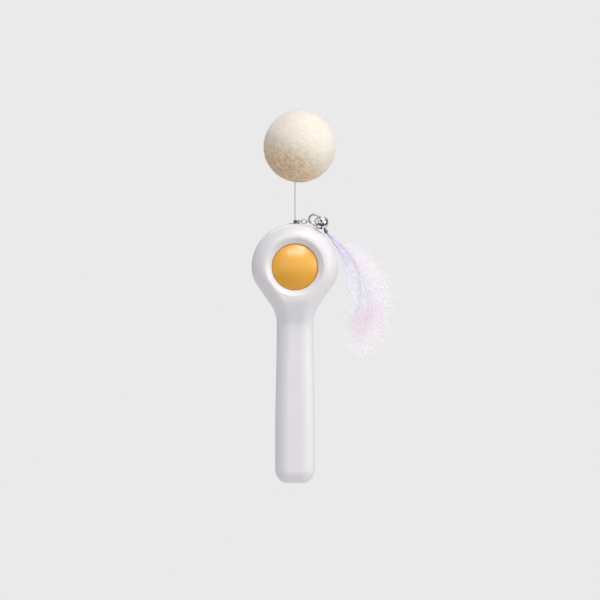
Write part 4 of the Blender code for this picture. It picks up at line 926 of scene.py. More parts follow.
lineEnd = {
    "ferruleFoot": 155.8 * mm,
    "ferruleRadius": 1.0 * mm,
    "ferruleOutline": [(0, 1.9), (0.45, 1.9), (0.55, 1.87), (0.8, 1.65), (0.96, 1.45), (1, 1.3), (1, 1.25),
                       (0.86, 1.12), (0.86, 0.98), (1, 0.85), (1, 0.1), (0.92, 0), (0, 0)],  # in mm
    "eyeRadius": 0.8 * mm,
    "eyeWire": 0.25 * mm,
    "chainHeight": 156.8 * mm,
    "lineFoot": 150.6 * mm,
    "lineGap": 0.1 * mm,
    "lineRadius": 0.392 * mm,
    "lineSteps": 40,
    "leaderRadius": 0.28 * mm,
    "leaderSeat": 1.3 * mm,
    "leaderTop": 191.0 * mm,
    "leaderSteps": 24,
    "linkCentres": (3.1 * mm, 5.45 * mm),
    "linkLength": (2.6 * mm, 3.4 * mm),
    "linkWidth": (1.5 * mm, 2.2 * mm),
    "linkWire": 0.25 * mm,
    "linkSteps": 14,
    "claspEye": 7.47 * mm,
    "claspEyeRadius": 1.0 * mm,
    "claspEyeWire": 0.28 * mm,
    "claspMiddle": (13.07 * mm, 156.9 * mm),
    "claspTilt": math.radians(36),
    "claspHalf": 5.0 * mm,
    "claspRound": 2.9 * mm,
    "claspWire": 0.58 * mm,
    "claspSteps": 24,
    "gateHalf": 1.6 * mm,
    "gateGap": 0.3 * mm,
    "gateWire": 0.4 * mm,
    "gateRadii": [0.8, 1, 1, 1, 1, 1, 0.9],
    "knuckleReach": 0.75 * mm,
    "knuckleRadius": 0.42 * mm,
    "knuckleWire": 0.2 * mm,
}


def makeFerrule():
    s = lineEnd
    bead = turned("crimpBead", inMm(s["ferruleOutline"]), steps=40, matrix=at(0, 0, s["ferruleFoot"]))
    eye = ringMesh("crimpEye", s["eyeRadius"], s["eyeWire"],
                   at(s["ferruleRadius"] + s["eyeRadius"], 0, s["chainHeight"], facingFront), steps=36)
    ferrule = joined("line_ferrule_crimp", [bead, eye], 40)
    dress(ferrule, finishes["darkSteel"], "line_end", ["line_ferrule"])
    print("ferrule:", len(ferrule.data.polygons), "faces")


def uprightPoints(low, high, steps):
    return [(0, 0, low + (high - low) * i / steps) for i in range(steps + 1)]


def makeLines():
    # the stretch that pays out, fine enough to be drawn long, and the leader wire
    s = lineEnd
    low, high = s["lineFoot"], s["ferruleFoot"] - s["lineGap"]
    paid = tube("line_paid_out", uprightPoints(low, high, s["lineSteps"]), s["lineRadius"], sides=10)
    paint(paid, finishes["line"])
    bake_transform(paid)
    points = uprightPoints(s["ferruleFoot"] + s["leaderSeat"], s["leaderTop"], s["leaderSteps"])
    leader = tube("leader_wire_drawn", points, s["leaderRadius"], sides=12)
    dress(leader, finishes["spring"], "ball", ["leader_wire"])
    print("line and leader wire made")


def ovalPoints(length, width, steps):
    radius, reach = width / 2, (length - width) / 2
    return (arcPoints(radius, -quarter, quarter, steps, (reach, 0))
            + arcPoints(radius, quarter, 3 * quarter, steps, (-reach, 0)))


def onClasp(along, across):
    s = lineEnd
    x, z = s["claspMiddle"]
    ca, sa = math.cos(s["claspTilt"]), math.sin(s["claspTilt"])
    return Vector((x + along * ca + across * sa, 0, z - along * sa + across * ca))


def makeChain():
    s = lineEnd
    for count, upright in ((0, False), (1, True)):
        points = []
        for a, b in ovalPoints(s["linkLength"][count], s["linkWidth"][count], s["linkSteps"]):
            y, z = (0, b) if upright else (b, 0)
            points.append((s["linkCentres"][count] + a, y, s["chainHeight"] + z))
        link = tube(f"chain_link_{count + 1}_wire", points, s["linkWire"], sides=12, closed=True)
        dress(link, finishes["nickel"], f"link_{count + 1}", [f"chain_link_{count + 1}"])
    stop, low = s["gateHalf"] + s["gateGap"], -s["claspRound"]
    oval = ovalPoints(2 * s["claspHalf"], 2 * s["claspRound"], s["claspSteps"])
    route = [onClasp(*point) for point in ((stop, low), *oval, (-stop, low))]
    loop = tube("claspLoop", route, s["claspWire"], sides=16)
    eye = ringMesh("claspEye", s["claspEyeRadius"], s["claspEyeWire"],
                   at(s["claspEye"], 0, s["chainHeight"]), steps=36)
    knuckle = ringMesh("gateKnuckle", s["knuckleRadius"], s["knuckleWire"],
                       at(*onClasp(s["gateHalf"] + s["knuckleReach"], low), facingFront), steps=24)
    clasp = joined("snap_clasp_loop", [loop, eye, knuckle], 50)
    dress(clasp, finishes["nickel"], "clasp", ["snap_clasp"])
    steps = len(s["gateRadii"]) - 1
    ends = [onClasp(-s["gateHalf"] + 2 * s["gateHalf"] * i / steps, low) for i in range(steps + 1)]
    gate = tube("clasp_gate_bar", ends, s["gateWire"], sides=14, radii=s["gateRadii"])
    dress(gate, finishes["nickel"], "gate", ["clasp_gate"])
    print("chain, clasp and gate made")


bell = {
    "hangAlong": 1.2 * mm,
    "radius": 3.9 * mm,
    "wall": 0.4 * mm,
    "lip": 0.3 * mm,
    "lipRound": 0.1 * mm,
    "seam": 0.35 * mm,
    "gap": 0.075 * mm,
    "eyeRadius": 1.45 * mm,
    "eyeWire": 0.3 * mm,
    "eyePlay": 0.15 * mm,
    "claspPlay": 0.3 * mm,
    "slotWidth": 0.8 * mm,
    "slotReach": 2.9 * mm,
    "slotTop": -1.2 * mm,
    "slotEnd": 0.75 * mm,
    "slotEndInset": 0.3 * mm,
    "slotEndTop": -1.0 * mm,
    "below": -6 * mm,
}


def makeBell():
    b, s = bell, lineEnd
    hang = onClasp(b["hangAlong"], s["claspRound"])
    slack = b["eyeRadius"] - b["eyeWire"] - s["claspWire"] / math.cos(s["claspTilt"]) - b["eyePlay"]
    reach = b["radius"] + b["eyeRadius"] + slack
    lean = s["claspWire"] + b["claspPlay"] + b["radius"] + b["lip"]
    drop = math.sqrt(reach**2 - lean**2)
    place = at(hang.x, -lean, hang.z - drop, Matrix.Rotation(-math.atan2(lean, drop), 4, "X"))
    outer, inner = b["radius"], b["radius"] - b["wall"]
    seam, lip = b["seam"] + b["gap"], outer + b["lip"]
    outside = [(0, outer), *arcPoints(outer, quarter, math.asin(seam / outer), 20)[1:]]
    inside = [*arcPoints(inner, math.asin(b["gap"] / inner), quarter, 20)[:-1], (0, inner)]
    profile = [*outside, (lip - b["lipRound"], seam), (lip, seam - b["lipRound"]), (lip, b["gap"]), *inside]
    upper = turned("bellTop", profile, steps=72, matrix=place, angle=45)
    eye = ringMesh("bellEye", b["eyeRadius"], b["eyeWire"],
                   place @ at(0, 0, outer + b["eyeRadius"], Matrix.Rotation(quarter, 4, "Y")), steps=40)
    top = joined("bell_upper_shell", [upper, eye], 45)
    dress(top, finishes["chrome"], "bell", ["bell_upper"])
    mirrored = [(r, -h) for r, h in reversed(profile)]
    lower = turned("bell_lower_shell", mirrored, steps=72, matrix=place, angle=45)
    long, half = b["slotReach"], b["slotWidth"] / 2
    cutters = []
    for number in range(4):
        turn = place @ Matrix.Rotation(quarter * number, 4, "Z")
        if number < 2:
            bar = boxMesh(f"slotBar{number}", (-long, -half, b["below"]), (long, half, b["slotTop"]))
            bar.data.transform(turn)
            cutters.append(bar)
        cutters.append(cylinder(f"slotHole{number}", b["slotEnd"], b["below"], b["slotEndTop"],
                                turn @ at(long - b["slotEndInset"], 0, 0), steps=24))
    lower = combine(lower, cutters, angle=45)
    dress(lower, finishes["chrome"], "bell", ["bell_lower"])
    print("bell:", len(top.data.polygons) + len(lower.data.polygons), "faces")


feltBall = {
    "centre": Vector((2.7 * mm, 0, 201.8 * mm)),
    "radius": 21.55 * mm,
    "cream": ((0.93, 0.80, 0.62), (0.98, 0.94, 0.87)),  # dark and light
    # painted shade: darker sand tones, dark and light, for the side of the ball away from the lamps
    "paintedShadeSand": ((0.55, 0.36, 0.18), (1.0, 0.80, 0.55)),
    "paintedShadeSide": (-0.48, -0.24, -0.84),
    "paintedShadeRange": (0.05, 0.88),  # of the radius, along that side
    "fibreSize": 1700.0,
    "clumpSize": 480.0,
    "lumps": 0.22 * mm,
    "lumpScale": 2.6,
    "lumpNoise": (1.0, 2.0, 3),  # how fast octaves fade, how far apart they lie, and how many
    "pits": 0.16 * mm,
    "pitScale": 17.0,
    "pitShift": Vector((7, 3, 5)),
    "pitNoise": (0.8, 2.1, 4),
    "grain": 0.07 * mm,
    "grainScale": 52.0,
    "dimple": 0.8 * mm,
    "dimpleWidth": 0.05,
    "fibres": 15000.0,
    "shownShare": 0.35,
    "fibreLength": 1.15 * mm,
    "fibreWidth": 0.024 * mm,
    "fibreBend": 0.5,
    "fibreDroop": 0.25,
    "fibreTaper": 0.6,
    "fibreSteps": 4,
    "lean": 1.25,
    "seed": 11,
}


def feltMaterial(name, fibreScale, bump, bumpDepth, constants):
    # cream wool with painted shade: it turns to a darker sand colour towards the ball's lower left, the side
    # away from the lamps
    f = feltBall
    material, tree, shader, where = startMaterial(name, f["cream"][1], 0.92, constants=constants)
    toMiddle = tuple(-value for value in f["centre"])
    centred = addNode(tree, "ShaderNodeMapping", {"Vector": where, "Location": toMiddle})
    # painted shade: how far a point lies towards the ball's lower left, away from the lamps
    toPaintedShade = addVectorMath(tree, "DOT_PRODUCT", centred.outputs["Vector"], f["paintedShadeSide"])
    share = addRange(tree, toPaintedShade, *(f["radius"] * value for value in f["paintedShadeRange"]), kind="SMOOTHSTEP")
    cream, paintedShadeSand = (fibreShades(tree, where, f[shade], fibreScale * f["fibreSize"], f["clumpSize"])
                   for shade in ("cream", "paintedShadeSand"))
    feed(tree, shader, {"Base Color": mixedColor(tree, share, cream["Color"], paintedShadeSand["Color"])})
    addBump(tree, shader, paintedShadeSand["Height"], bump, bumpDepth)
    return material


def fibreShape(name):
    # one loose fibre, a three-sided tapering hair that curls over
    f = feltBall
    length, reach, steps = f["fibreLength"], f["fibreBend"] * f["fibreLength"], f["fibreSteps"]
    thirds = (0, 2.094, 4.189)  # of a full turn, where its three sides meet
    bm = bmesh.new()
    rows = []
    for i in range(steps):
        t = i / steps
        centre = Vector((reach * t * t, 0, length * (t - f["fibreDroop"] * t * t)))
        r = f["fibreWidth"] * (1 - f["fibreTaper"] * t)
        rows.append([bm.verts.new(centre + Vector((r * math.cos(a), r * math.sin(a), 0))) for a in thirds])
    tip = bm.verts.new((reach, 0, (1 - f["fibreDroop"]) * length))
    for near, far in zip(rows, rows[1:]):
        for i in range(3):
            bm.faces.new((near[i], near[(i + 1) % 3], far[(i + 1) % 3], far[i]))
    for i in range(3):
        bm.faces.new((rows[-1][i], rows[-1][(i + 1) % 3], tip))
    return meshFromBmesh(name, bm, allSmooth)


def makeFibresTree():
    # loose fibres all over a surface, each leaning its own way
    tree, ins, outs = geometryTree("looseFibres", [
        ("Fibre", "Object"), ("Fibres per area", "Float"), ("Lean", "Float"), ("Shortest", "Float"),
        ("Longest", "Float")])
    scatter = addNode(tree, "GeometryNodeDistributePointsOnFaces",
                      {"Mesh": ins["Geometry"], "Density": ins["Fibres per area"], "Seed": ins["Seed"]})
    chance = addChance(tree, "FLOAT_VECTOR", (-1, -1, -3.1416), (1, 1, 3.1416), ins["Seed"])
    leanBy = addNode(tree, "ShaderNodeCombineXYZ", {"X": ins["Lean"], "Y": ins["Lean"], "Z": 1.0})
    angles = addVectorMath(tree, "MULTIPLY", chance, leanBy.outputs["Vector"])
    turn = addTurn(tree, scatter.outputs["Rotation"], angles)
    size = addChance(tree, "FLOAT", ins["Shortest"], ins["Longest"], ins["Seed"])
    addCopies(tree, ins, outs, ins["Fibre"], scatter.outputs["Points"], turn, size)
    return tree


def addTurn(tree, rotation, angles):
    # a further turn about a copy's own axes
    by = addNode(tree, "FunctionNodeEulerToRotation", {"Euler": angles}).outputs["Rotation"]
    return addNode(tree, "FunctionNodeRotateRotation", {"Rotation": rotation, "Rotate By": by},
                   rotation_space="LOCAL").outputs["Rotation"]


def makeBall():
    f = feltBall
    bm = bmesh.new()
    bmesh.ops.create_icosphere(bm, subdivisions=6, radius=f["radius"])
    low = Vector((-f["centre"].x, 0, -f["radius"])).normalized()  # where the leader wire goes in
    for vert in bm.verts:
        way = vert.co.normalized()
        lump = f["lumps"] * noise.fractal(way * f["lumpScale"], *f["lumpNoise"])
        pit = f["pits"] * noise.fractal(way * f["pitScale"] + f["pitShift"], *f["pitNoise"])
        grain = f["grain"] * noise.noise(way * f["grainScale"])
        dimple = f["dimple"] * math.exp(-((way - low).length / f["dimpleWidth"]) ** 2)
        vert.co = f["centre"] + way * (f["radius"] + lump + pit + grain - dimple)
    ball = meshFromBmesh("felt_ball_core", bm, allSmooth)
    skin = linked("feltSkin", ball.data.copy())
    hair = fibreShape("looseFibre")
    area = 4 * math.pi * f["radius"] ** 2
    values = {"Fibre": hair, "Fibres per area": f["fibres"] / area * f["shownShare"], "Lean": f["lean"],
              "Shortest": 0.5, "Longest": 1.0, "Seed": f["seed"], "Finish": finishes["line"]}
    fuzz = grow("felt_ball_fuzz", skin, makeFibresTree(), values, allSmooth)
    removeObject(hair)
    soft = {"Sheen Weight": 0.2, "Sheen Roughness": 0.5}
    deep = {"Subsurface Weight": 0.2, "Subsurface Radius": (1.0, 0.5, 0.25), "Subsurface Scale": 4 * mm}
    felt = feltMaterial("mattedFelt", 1.0, bump=1.0, bumpDepth=0.5 * mm, constants={**soft, **deep})
    wool = feltMaterial("looseWool", 0.6, bump=0.1, bumpDepth=0.1 * mm, constants=soft)
    dress(ball, felt, "ball", ["felt_ball"])
    dress(fuzz, wool, "ball", [])
    print("felt ball:", len(ball.data.polygons), "faces and", len(fuzz.data.polygons), "in its fuzz")


feathers = {
    "capTurn": math.radians(66),
    "capLength": 3.0 * mm,
    "capOutline": [(0, 1.9), (0.9, 1.9), (0.9, 3), (1.1, 3), (1.2, 2.9), (1.176, 2.4), (1.08, 2.25),
                   (1.08, 2.05), (1.152, 1.9), (0.93, 1.2), (0.75, 0.2), (0.6, 0), (0, 0)],  # in mm
    "eyeRadius": 1.3 * mm,
    "eyeWire": 0.26 * mm,
    "eyePlay": 0.142 * mm,
    "quillSeat": 0.95 * mm,
    "quillRadius": 0.26 * mm,
    "quillSteps": 8,
    "quillTaper": 0.9,
    "quillTip": 0.1,
    "barePoints": 10,  # of the shaft, before down that starts at the cap
    "spread": 0.45 * mm,
    "plumeGap": 0.6 * mm,
    "lineSteps": 36,
    "depthShare": 0.3,  # of the plume's length, by which it has its full depth
    "layerGap": 1.2 * mm,
    "layerTaper": 0.12,
    "barbReach": 1.12,  # of the plume's half width
    "swell": (0.93, 0.05),  # length along the plume to a share of half a wave
    "sweeps": (math.radians(62), math.radians(22)),
    "looseAngle": math.radians(13),
    "barbLean": 0.22,
    "barbTwist": 0.8,
    "barbLengths": (0.55, 1.05),
    "vaneReach": 0.92,
    "vaneSteps": 14,
    "vaneWave": 1.3 * mm,
    "vaneRipple": (9, 2.5),  # along the plume and across it
    "vaneDepths": (-0.5 * mm, 0.5 * mm),
}

outerFeather = {
    "quillEnd": (10.2 * mm, 4.7 * mm),
    "length": 68.0 * mm,
    "halfWidth": 22.0 * mm,
    "turns": (math.radians(44), math.radians(118)),
    "depths": (8.0 * mm, 16.0 * mm),
    "barbsPerSide": 300,
    "layers": 4,
    "power": 0.5,
    "downFromCap": False,
    "headSideAtRoot": 0.3,
    "headSideFreeBy": 0.32,
    "seed": 5,
}

innerFeather = {
    "quillEnd": (12.1 * mm, 2.6 * mm),
    "length": 40.0 * mm,
    "halfWidth": 9.0 * mm,
    "turns": (math.radians(58), math.radians(99)),
    "depths": (4.0 * mm, 7.6 * mm),
    "barbsPerSide": 170,
    "layers": 3,
    "power": 0.32,
    "downFromCap": True,
    "headSideAtRoot": 0.16,
    "headSideFreeBy": 0.95,
    "seed": 9,
}

# in shares of the barb's own length
downyBarb = {
    "steps": 7,
    "shortening": 0.10,
    "sideBend": 0.24,
    "ripple": (0.05, 5),
    "halfWidth": 0.003,
    "taper": 0.75,
    "barbules": 17,
    "firstBarbule": 0.06,
    "barbuleSpan": 0.92,
    "barbuleShift": 0.01,
    "barbuleLength": 0.13,
    "barbuleTaper": 0.45,
    "barbuleLengths": (0.7, 1.15),
    "barbuleTurns": (30, 58),  # degrees
    "barbuleRise": 0.035,
    "barbuleRoot": 0.0034,
}


def barbShape(name, side, seed):
    # one downy barb of unit length: a bent tapering strip with fine barbules on both edges
    d = downyBarb
    chance = random.Random(seed)
    bm = bmesh.new()

    def spine(t):
        lift = d["ripple"][0] * math.sin(d["ripple"][1] * t)
        return Vector((t - d["shortening"] * t * t, side * d["sideBend"] * t * t, lift))

    rows = []
    for t in (0, *shares(d["steps"])):
        half = Vector((0, d["halfWidth"] * (1 - d["taper"] * t), 0))
        rows.append((bm.verts.new(spine(t) + half), bm.verts.new(spine(t) - half)))
    for near, far in zip(rows, rows[1:]):
        bm.faces.new((near[0], near[1], far[1], far[0]))
    root = Vector((d["barbuleRoot"], 0, 0))
    for i in range(d["barbules"]):
        t = d["firstBarbule"] + d["barbuleSpan"] * i / d["barbules"]
        for edge in (-1, 1):
            p = spine(t + chance.uniform(-d["barbuleShift"], d["barbuleShift"]))
            reach = d["barbuleLength"] * (1 - d["barbuleTaper"] * t) * chance.uniform(*d["barbuleLengths"])
            turn = edge * math.radians(chance.uniform(*d["barbuleTurns"]))
            rise = chance.uniform(-d["barbuleRise"], d["barbuleRise"])
            tip = p + Vector((math.cos(turn) * reach, math.sin(turn) * reach, rise))
            bm.faces.new([bm.verts.new(corner) for corner in (p - root, p + root, tip)])
    return meshFromBmesh(name, bm, allSmooth)


def addAlign(tree, inputs, **settings):
    return addNode(tree, "FunctionNodeAlignRotationToVector", inputs, **settings).outputs["Rotation"]


def makeBarbsTree():
    # barbs along a quill, swept back from its root to its tip
    f = feathers
    sizes = ("Side", "Longest", "Shape power", "Sweep at root", "Sweep at tip", "Loose angle",
             "Share at root", "Full length by")
    tree, ins, outs = geometryTree("barbsAlongQuill", [
        ("Barb", "Object"), ("Count", "Int"), *((title, "Float") for title in sizes)])

    def chance(low, high, shift):
        return addChance(tree, "FLOAT", low, high, addMath(tree, "ADD", ins["Seed"], shift))

    toCurve = addNode(tree, "GeometryNodeMeshToCurve", {"Mesh": ins["Geometry"]}).outputs["Curve"]
    points = addNode(tree, "GeometryNodeResampleCurve", {"Curve": toCurve, "Count": ins["Count"]})
    along = addNode(tree, "GeometryNodeSplineParameter").outputs["Factor"]
    tangent = addNode(tree, "GeometryNodeInputTangent").outputs["Tangent"]
    sweep = addRange(tree, along, 0.0, 1.0, ins["Sweep at root"], ins["Sweep at tip"])
    loose = addMath(tree, "MULTIPLY", chance(-1.0, 1.0, 1), ins["Loose angle"])
    angle = addMath(tree, "MULTIPLY", addMath(tree, "ADD", sweep, loose), ins["Side"])
    swing = addNode(tree, "ShaderNodeVectorRotate", {"Vector": tangent, "Axis": (0, 1, 0), "Angle": angle},
                    rotation_type="AXIS_ANGLE").outputs["Vector"]
    lean = addNode(tree, "ShaderNodeCombineXYZ", {"Y": chance(-f["barbLean"], f["barbLean"], 2)})
    swung = addVectorMath(tree, "ADD", swing, lean.outputs["Vector"])
    aimed = addAlign(tree, {"Vector": swung}, axis="X")
    faced = addAlign(tree, {"Vector": (0, -1, 0), "Rotation": aimed}, axis="Z", pivot_axis="X")
    twist = addNode(tree, "ShaderNodeCombineXYZ", {"X": chance(-f["barbTwist"], f["barbTwist"], 3)})
    halfWave = addMath(tree, "MULTIPLY", addMath(tree, "MULTIPLY_ADD", along, *f["swell"]), math.pi)
    swell = addMath(tree, "POWER", addMath(tree, "SINE", halfWave), ins["Shape power"])
    grown = addRange(tree, along, 0.0, ins["Full length by"], ins["Share at root"], 1.0)
    full = addMath(tree, "MULTIPLY", addMath(tree, "MULTIPLY", swell, grown), ins["Longest"])
    length = addMath(tree, "MULTIPLY", full, chance(*f["barbLengths"], 4))
    turn = addTurn(tree, faced, twist.outputs["Vector"])
    addCopies(tree, ins, outs, ins["Barb"], points.outputs["Curve"], turn, length)
    return tree


def plumeLine(start, spec):
    # middle line of a plume, bending from one direction to another and back in depth
    points = []
    x, z = start
    steps = feathers["lineSteps"]
    for step in range(steps + 1):
        share = step / steps
        points.append(Vector((x, between(*spec["depths"], eased(min(share / feathers["depthShare"], 1))), z)))
        turn = between(*spec["turns"], share + 0.5 / steps)
        x += spec["length"] / steps * math.cos(turn)
        z -= spec["length"] / steps * math.sin(turn)
    return points


def headShare(spec, share):
    # barbs that point to the head stay short until the plume is clear of it
    return between(spec["headSideAtRoot"], 1, min(share / spec["headSideFreeBy"], 1))


def vaneSheet(name, line, spec, depth):
    # the matted middle of a plume: a thin wavy sheet whose rows follow the barbs
    f = feathers
    bm = bmesh.new()
    layer = bm.loops.layers.uv.new("alongAndAcross")
    rows = []
    count, across = len(line), f["vaneSteps"]
    for i, point in enumerate(line):
        share = i / (count - 1)
        way = (line[min(i + 1, count - 1)] - line[max(i - 1, 0)]).normalized()
        out = Vector((-way.z, 0, way.x))
        sweep = between(*f["sweeps"], share)
        swell = math.sin(math.pi * (f["swell"][0] * share + f["swell"][1])) ** spec["power"]
        width = spec["halfWidth"] * f["vaneReach"] * swell
        row = []
        for j in range(-across, across + 1):
            v = j / across
            wave = f["vaneWave"] * math.sin(f["vaneRipple"][0] * share + f["vaneRipple"][1] * v) * abs(v)
            reach = v * width * (headShare(spec, share) if v < 0 else 1)
            place = point + out * (reach * math.sin(sweep)) + way * (abs(reach) * math.cos(sweep))
            row.append((bm.verts.new(place + Vector((0, depth + wave, 0))), share, v / 2 + 0.5))
        rows.append(row)
    for near, far in zip(rows, rows[1:]):
        for j in range(2 * across):
            corners = (near[j], near[j + 1], far[j + 1], far[j])
            face = bm.faces.new([corner[0] for corner in corners])
            for loop, (_, u, v) in zip(face.loops, corners):
                loop[layer].uv = (u, v)
    return meshFromBmesh(name, bm, allSmooth)


def makePlume(name, line, spec, dye, tree):
    f = feathers
    tufts = []
    for layer in range(spec["layers"]):
        back = Vector((0, (layer - (spec["layers"] - 1) / 2) * f["layerGap"], 0))
        for edge in (-1, 1):
            barb = barbShape("downyBarb", edge, spec["seed"] + layer)
            values = {
                "Barb": barb, "Count": spec["barbsPerSide"], "Side": float(-edge),
                "Longest": spec["halfWidth"] * (1.0 - f["layerTaper"] * layer) * f["barbReach"],
                "Shape power": spec["power"], "Sweep at root": f["sweeps"][0], "Sweep at tip": f["sweeps"][1],
                "Loose angle": f["looseAngle"], "Seed": spec["seed"] * 10 + layer * 2 + edge,
                "Share at root": spec["headSideAtRoot"] if edge < 0 else 1.0,
                "Full length by": spec["headSideFreeBy"], "Finish": finishes[dye + "Down"],
            }
            base = plainMesh("quillLine", [p + back for p in line], chained(line))
            tufts.append(grow(f"tuft{name}{layer}{edge}", base, tree, values, allSmooth))
            removeObject(barb)
    plume = joined(f"feather_plume_{name}_down", tufts, allSmooth)
    dress(plume, finishes[dye + "Down"], "feather", [f"feather_plume_{name}"])
    for number, depth in enumerate(f["vaneDepths"]):
        vane = vaneSheet(f"feather_vane_{name}_{number + 1}", line, spec, depth)
        dress(vane, finishes[dye + "Vane"], "feather", [])
    print("feather", name, len(plume.data.polygons), "faces")


def wayDown(angle):
    return Vector((math.cos(angle), 0, -math.sin(angle)))


def makeFeathers():
    f, s = feathers, lineEnd
    down = wayDown(f["capTurn"])
    eyeCentre = onClasp(s["claspHalf"], 0) + wayDown(s["claspTilt"]) * f["eyePlay"]
    neck = eyeCentre + down * f["eyeRadius"]
    mouth = neck + down * f["capLength"]
    turn = down.to_track_quat("Z", "Y").to_matrix().to_4x4()
    cap = turned("capCone", inMm(f["capOutline"]), steps=40, matrix=at(*neck, turn), angle=40)
    eye = ringMesh("capEye", f["eyeRadius"], f["eyeWire"],
                   at(*eyeCentre, Euler((0, s["claspTilt"], 0)).to_matrix().to_4x4()), steps=40)
    cap = joined("feather_cap_crimp", [cap, eye], 40)
    dress(cap, finishes["darkSteel"], "feather", ["feather_cap"])
    root = mouth - down * f["quillSeat"]
    across = Vector((-down.z, 0, down.x))
    tree = makeBarbsTree()
    for side, name, spec, dye, slot in ((1, "outer", outerFeather, "pink", "feather_pink"),
                                        (-1, "inner", innerFeather, "lilac", "feather_lilac")):
        aside = Vector((0, side * f["spread"], 0))
        end = mouth + down * spec["quillEnd"][0] + across * spec["quillEnd"][1]
        end.y = spec["depths"][0]
        middle = (mouth + end) / 2 + Vector((0, -end.y / 4, 0))
        start = end + wayDown(spec["turns"][0]) * f["plumeGap"]
        line = plumeLine((start.x, start.z), spec)
        bare = smoothPath([root + aside, mouth + aside, middle, end], f["quillSteps"])
        shaft = bare + line[1:]
        radii = [1.0] * (len(bare) - 1)
        radii += [max(1.0 - f["quillTaper"] * i / len(line), f["quillTip"]) for i in range(len(line))]
        quill = tube(f"feather_quill_{name}_shaft", shaft, f["quillRadius"], sides=10, radii=radii)
        dress(quill, finishes["quill"], "feather", [f"feather_quill_{name}"])
        downy = shaft[f["barePoints"]:] if spec["downFromCap"] else line
        makePlume(name, downy, spec, dye, tree)


batteryCell = {
    "outline": [(0, 44.5), (2.1, 44.5), (2.4, 44.2), (2.4, 43.5), (4.25, 43.5), (4.35, 43.25), (4.8, 43.4),
                (5.17, 43.2), (5.25, 42.8), (5.25, 0.6), (5.13, 0.2), (4.75, 0.02), (4.35, 0.15), (4.05, 0),
                (0, 0)],  # in mm
    "depth": 3.65 * mm,
    "foot": 5.5 * mm,
    "pitch": 44.8 * mm,
}


def makeCells():
    s = batteryCell
    for number in (1, 2):
        place = at(0, s["depth"], s["foot"] + (2 - number) * s["pitch"])
        cell = turned(f"battery_cell_{number}_can", inMm(s["outline"]), steps=64, matrix=place)
        dress(cell, finishes["cell"], "casing", [f"battery_cell_{number}"])
    print("battery cells made")


def finishInside():
    # the pieces whose CAD shape is right get their own finish
    plan = {
        "nylon": ["chassis", "spool"],
        "gear": ["crown_gear"],
        "board": ["circuit_board"],
        "black": ["switch_housing", "control_chip"],
        "yolk": ["switch_plunger"],
        "steel": ["board_screw_1", "board_screw_2", "capacitor", "spool_axle", "drive_motor", "motor_shaft",
                  "negative_contact", "positive_contact", "bell_pellet"],
        "spring": ["button_spring", "contact_spring"],
        "brass": ["motor_pinion"],
        "line": ["line_winding", "reel_line"],
        "leadRed": ["battery_lead_red", "motor_lead_red"],
        "leadBlack": ["battery_lead_black", "motor_lead_black"],
    }
    for finish, names in plan.items():
        for name in names:
            for slot in nodes[name].material_slots:
                slot.material = finishes[finish]
    print("inside finished:", sum(len(names) for names in plan.values()), "nodes")


plainWhite = (1.0, 1.0, 1.0)
stage = {
    "background": 0.823,
    "worldLight": 0.36,
    "worldTint": (0.93, 0.92, 1.0),
    "floorHeight": -0.13,
    "floorRadius": 30.0,
    "floorColor": (0.8, 0.8, 0.8),
    "floorFade": (0.15, 0.7),  # how far out the floor turns from shaded to the plain background
    "floorNear": 0.25,
    "cameraDistance": 3.0,
    "frameWidth": 0.36,
    "sensor": 36.0,
    "look": (0.003, 0.1097),
    "lampTarget": (0.0, 0.0, 0.12),
    "lamps": {
        "keyLight": {"place": (0.55, -0.65, 1.85), "size": (0.9, 0.9), "power": 17.0,
                     "color": (1.0, 0.99, 0.97)},
        "faceLight": {"place": (0.12, -1.6, 1.5), "size": (1.7, 0.5), "power": 10.3, "color": plainWhite},
        "sideLight": {"place": (1.9, -0.7, 0.45), "size": (0.8, 0.8), "power": 9.3,
                      "color": (1.0, 0.99, 1.0)},
        "fillLight": {"place": (-1.6, -1.3, 0.4), "size": (1.2, 1.2), "power": 0.8,
                      "color": (0.93, 0.93, 1.0)},
        "backLight": {"place": (-0.6, 2.1, 1.3), "size": (1.2, 1.2), "power": 8.0, "color": plainWhite},
    },
    "cards": {
        "floorCard": {"place": (0.1, -0.83, -0.125), "size": (2.4, 1.55), "faces": (0.1, -0.83, 1.0)},
        "sideCard": {"place": (-1.3, -1.0, 0.6), "size": (0.4, 1.4), "faces": (0.0, 0.0, 0.12)},
        "rightCard": {"place": (1.3, 0.45, 0.4), "size": (0.8, 1.4), "faces": (0.0, 0.0, 0.12)},
        "farCard": {"place": (0.2, 1.8, 0.3), "size": (2.6, 1.4), "faces": (0.0, 0.0, 0.12)},
    },
}


def seenDirectly(tree):
    # 1 for camera, mirror and glass rays, which see the plain background
    rays = addNode(tree, "ShaderNodeLightPath").outputs
    either = addMath(tree, "MAXIMUM", rays["Is Camera Ray"], rays["Is Glossy Ray"])
    return addMath(tree, "MAXIMUM", either, rays["Is Transmission Ray"])


def makeWorld():
    world = bpy.data.worlds.new("studioWorld")
    bpy.context.scene.world = world
    world.use_nodes = True
    tree = world.node_tree
    tree.nodes.clear()
    plain = {"Color": (*plainWhite, 1), "Strength": stage["background"]}
    light = {"Color": (*stage["worldTint"], 1), "Strength": stage["worldLight"]}
    both = [addNode(tree, "ShaderNodeBackground", inputs).outputs[0] for inputs in (light, plain)]
    mix = addNode(tree, "ShaderNodeMixShader", {0: seenDirectly(tree), 1: both[0], 2: both[1]})
    addNode(tree, "ShaderNodeOutputWorld", {"Surface": mix.outputs[0]})


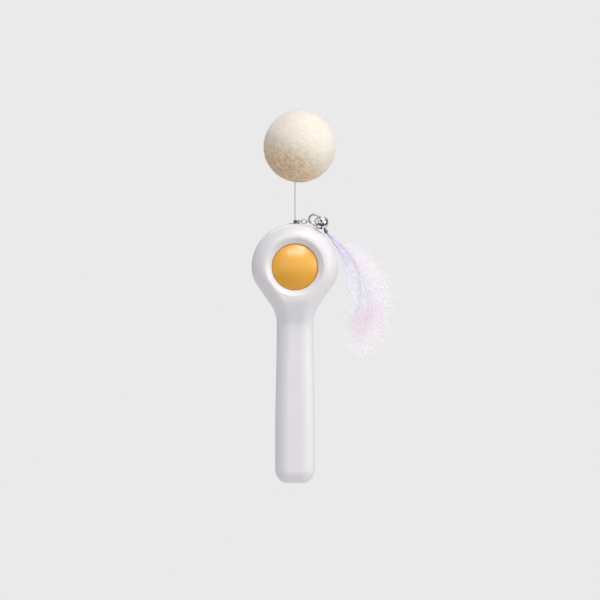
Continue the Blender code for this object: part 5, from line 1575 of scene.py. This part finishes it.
def makeFloor():
    s = stage
    material, tree, shader, where = startMaterial("paleFloor", s["floorColor"], 0.9,
                                                  constants={"Specular IOR Level": 0.0})
    glow = addNode(tree, "ShaderNodeEmission", {"Color": (*plainWhite, 1), "Strength": s["background"]})
    far = addVectorMath(tree, "LENGTH", where)
    share = addRange(tree, far, *s["floorFade"], s["floorNear"], 1.0, "SMOOTHSTEP")
    shown = addMath(tree, "MULTIPLY", share, seenDirectly(tree))
    mix = addNode(tree, "ShaderNodeMixShader", {0: shown, 1: shader.outputs[0], 2: glow.outputs[0]})
    feed(tree, tree.nodes["Material Output"], {"Surface": mix.outputs[0]})
    bm = bmesh.new()
    bmesh.ops.create_circle(bm, cap_ends=True, segments=96, radius=s["floorRadius"])
    floor = meshFromBmesh("studio_floor", bm)
    floor.location.z = s["floorHeight"]
    floor.data.materials.append(material)


def aim(obj, place, target, axis):
    obj.location = place
    obj.rotation_euler = (Vector(target) - obj.location).to_track_quat(axis, "Y").to_euler()


def makeStage():
    s = stage
    makeWorld()
    makeFloor()
    for name, spec in s["lamps"].items():
        lamp = bpy.data.lights.new(name, "AREA")
        lamp.shape = "RECTANGLE"
        lamp.size, lamp.size_y = spec["size"]
        lamp.energy = spec["power"]
        lamp.color = spec["color"]
        aim(linked(name, lamp), spec["place"], s["lampTarget"], "-Z")
    # black cards that only mirrors see, for the dark bands in the bright metal
    black = startMaterial("cardBlack", (0.01, 0.01, 0.012), 0.5)[0]
    for name, spec in s["cards"].items():
        x, y = (value / 2 for value in spec["size"])
        card = plainMesh(name, [(-x, -y, 0), (x, -y, 0), (x, y, 0), (-x, y, 0)], faces=[(0, 1, 2, 3)])
        card.data.materials.append(black)
        aim(card, spec["place"], spec["faces"], "Z")
        card.visible_camera = card.visible_diffuse = card.visible_shadow = card.visible_transmission = False

    lens = bpy.data.cameras.new("photoCamera")
    lens.sensor_width = s["sensor"]
    lens.sensor_fit = "HORIZONTAL"
    lens.lens = s["sensor"] * s["cameraDistance"] / s["frameWidth"]
    lens.clip_end = 100.0
    camera = linked("photoCamera", lens)
    camera.location = (s["look"][0], -s["cameraDistance"], s["look"][1])
    camera.rotation_euler = (quarter, 0, 0)
    bpy.context.scene.camera = camera
    bpy.context.scene.view_settings.view_transform = "Standard"
    print("stage, lamps and camera set")


makeStage()
makeCasing()
makeScrews()
makeButton()
makeEyelet()
makeFerrule()
makeLines()
makeChain()
makeBell()
makeBall()
makeFeathers()
makeCells()
finishInside()
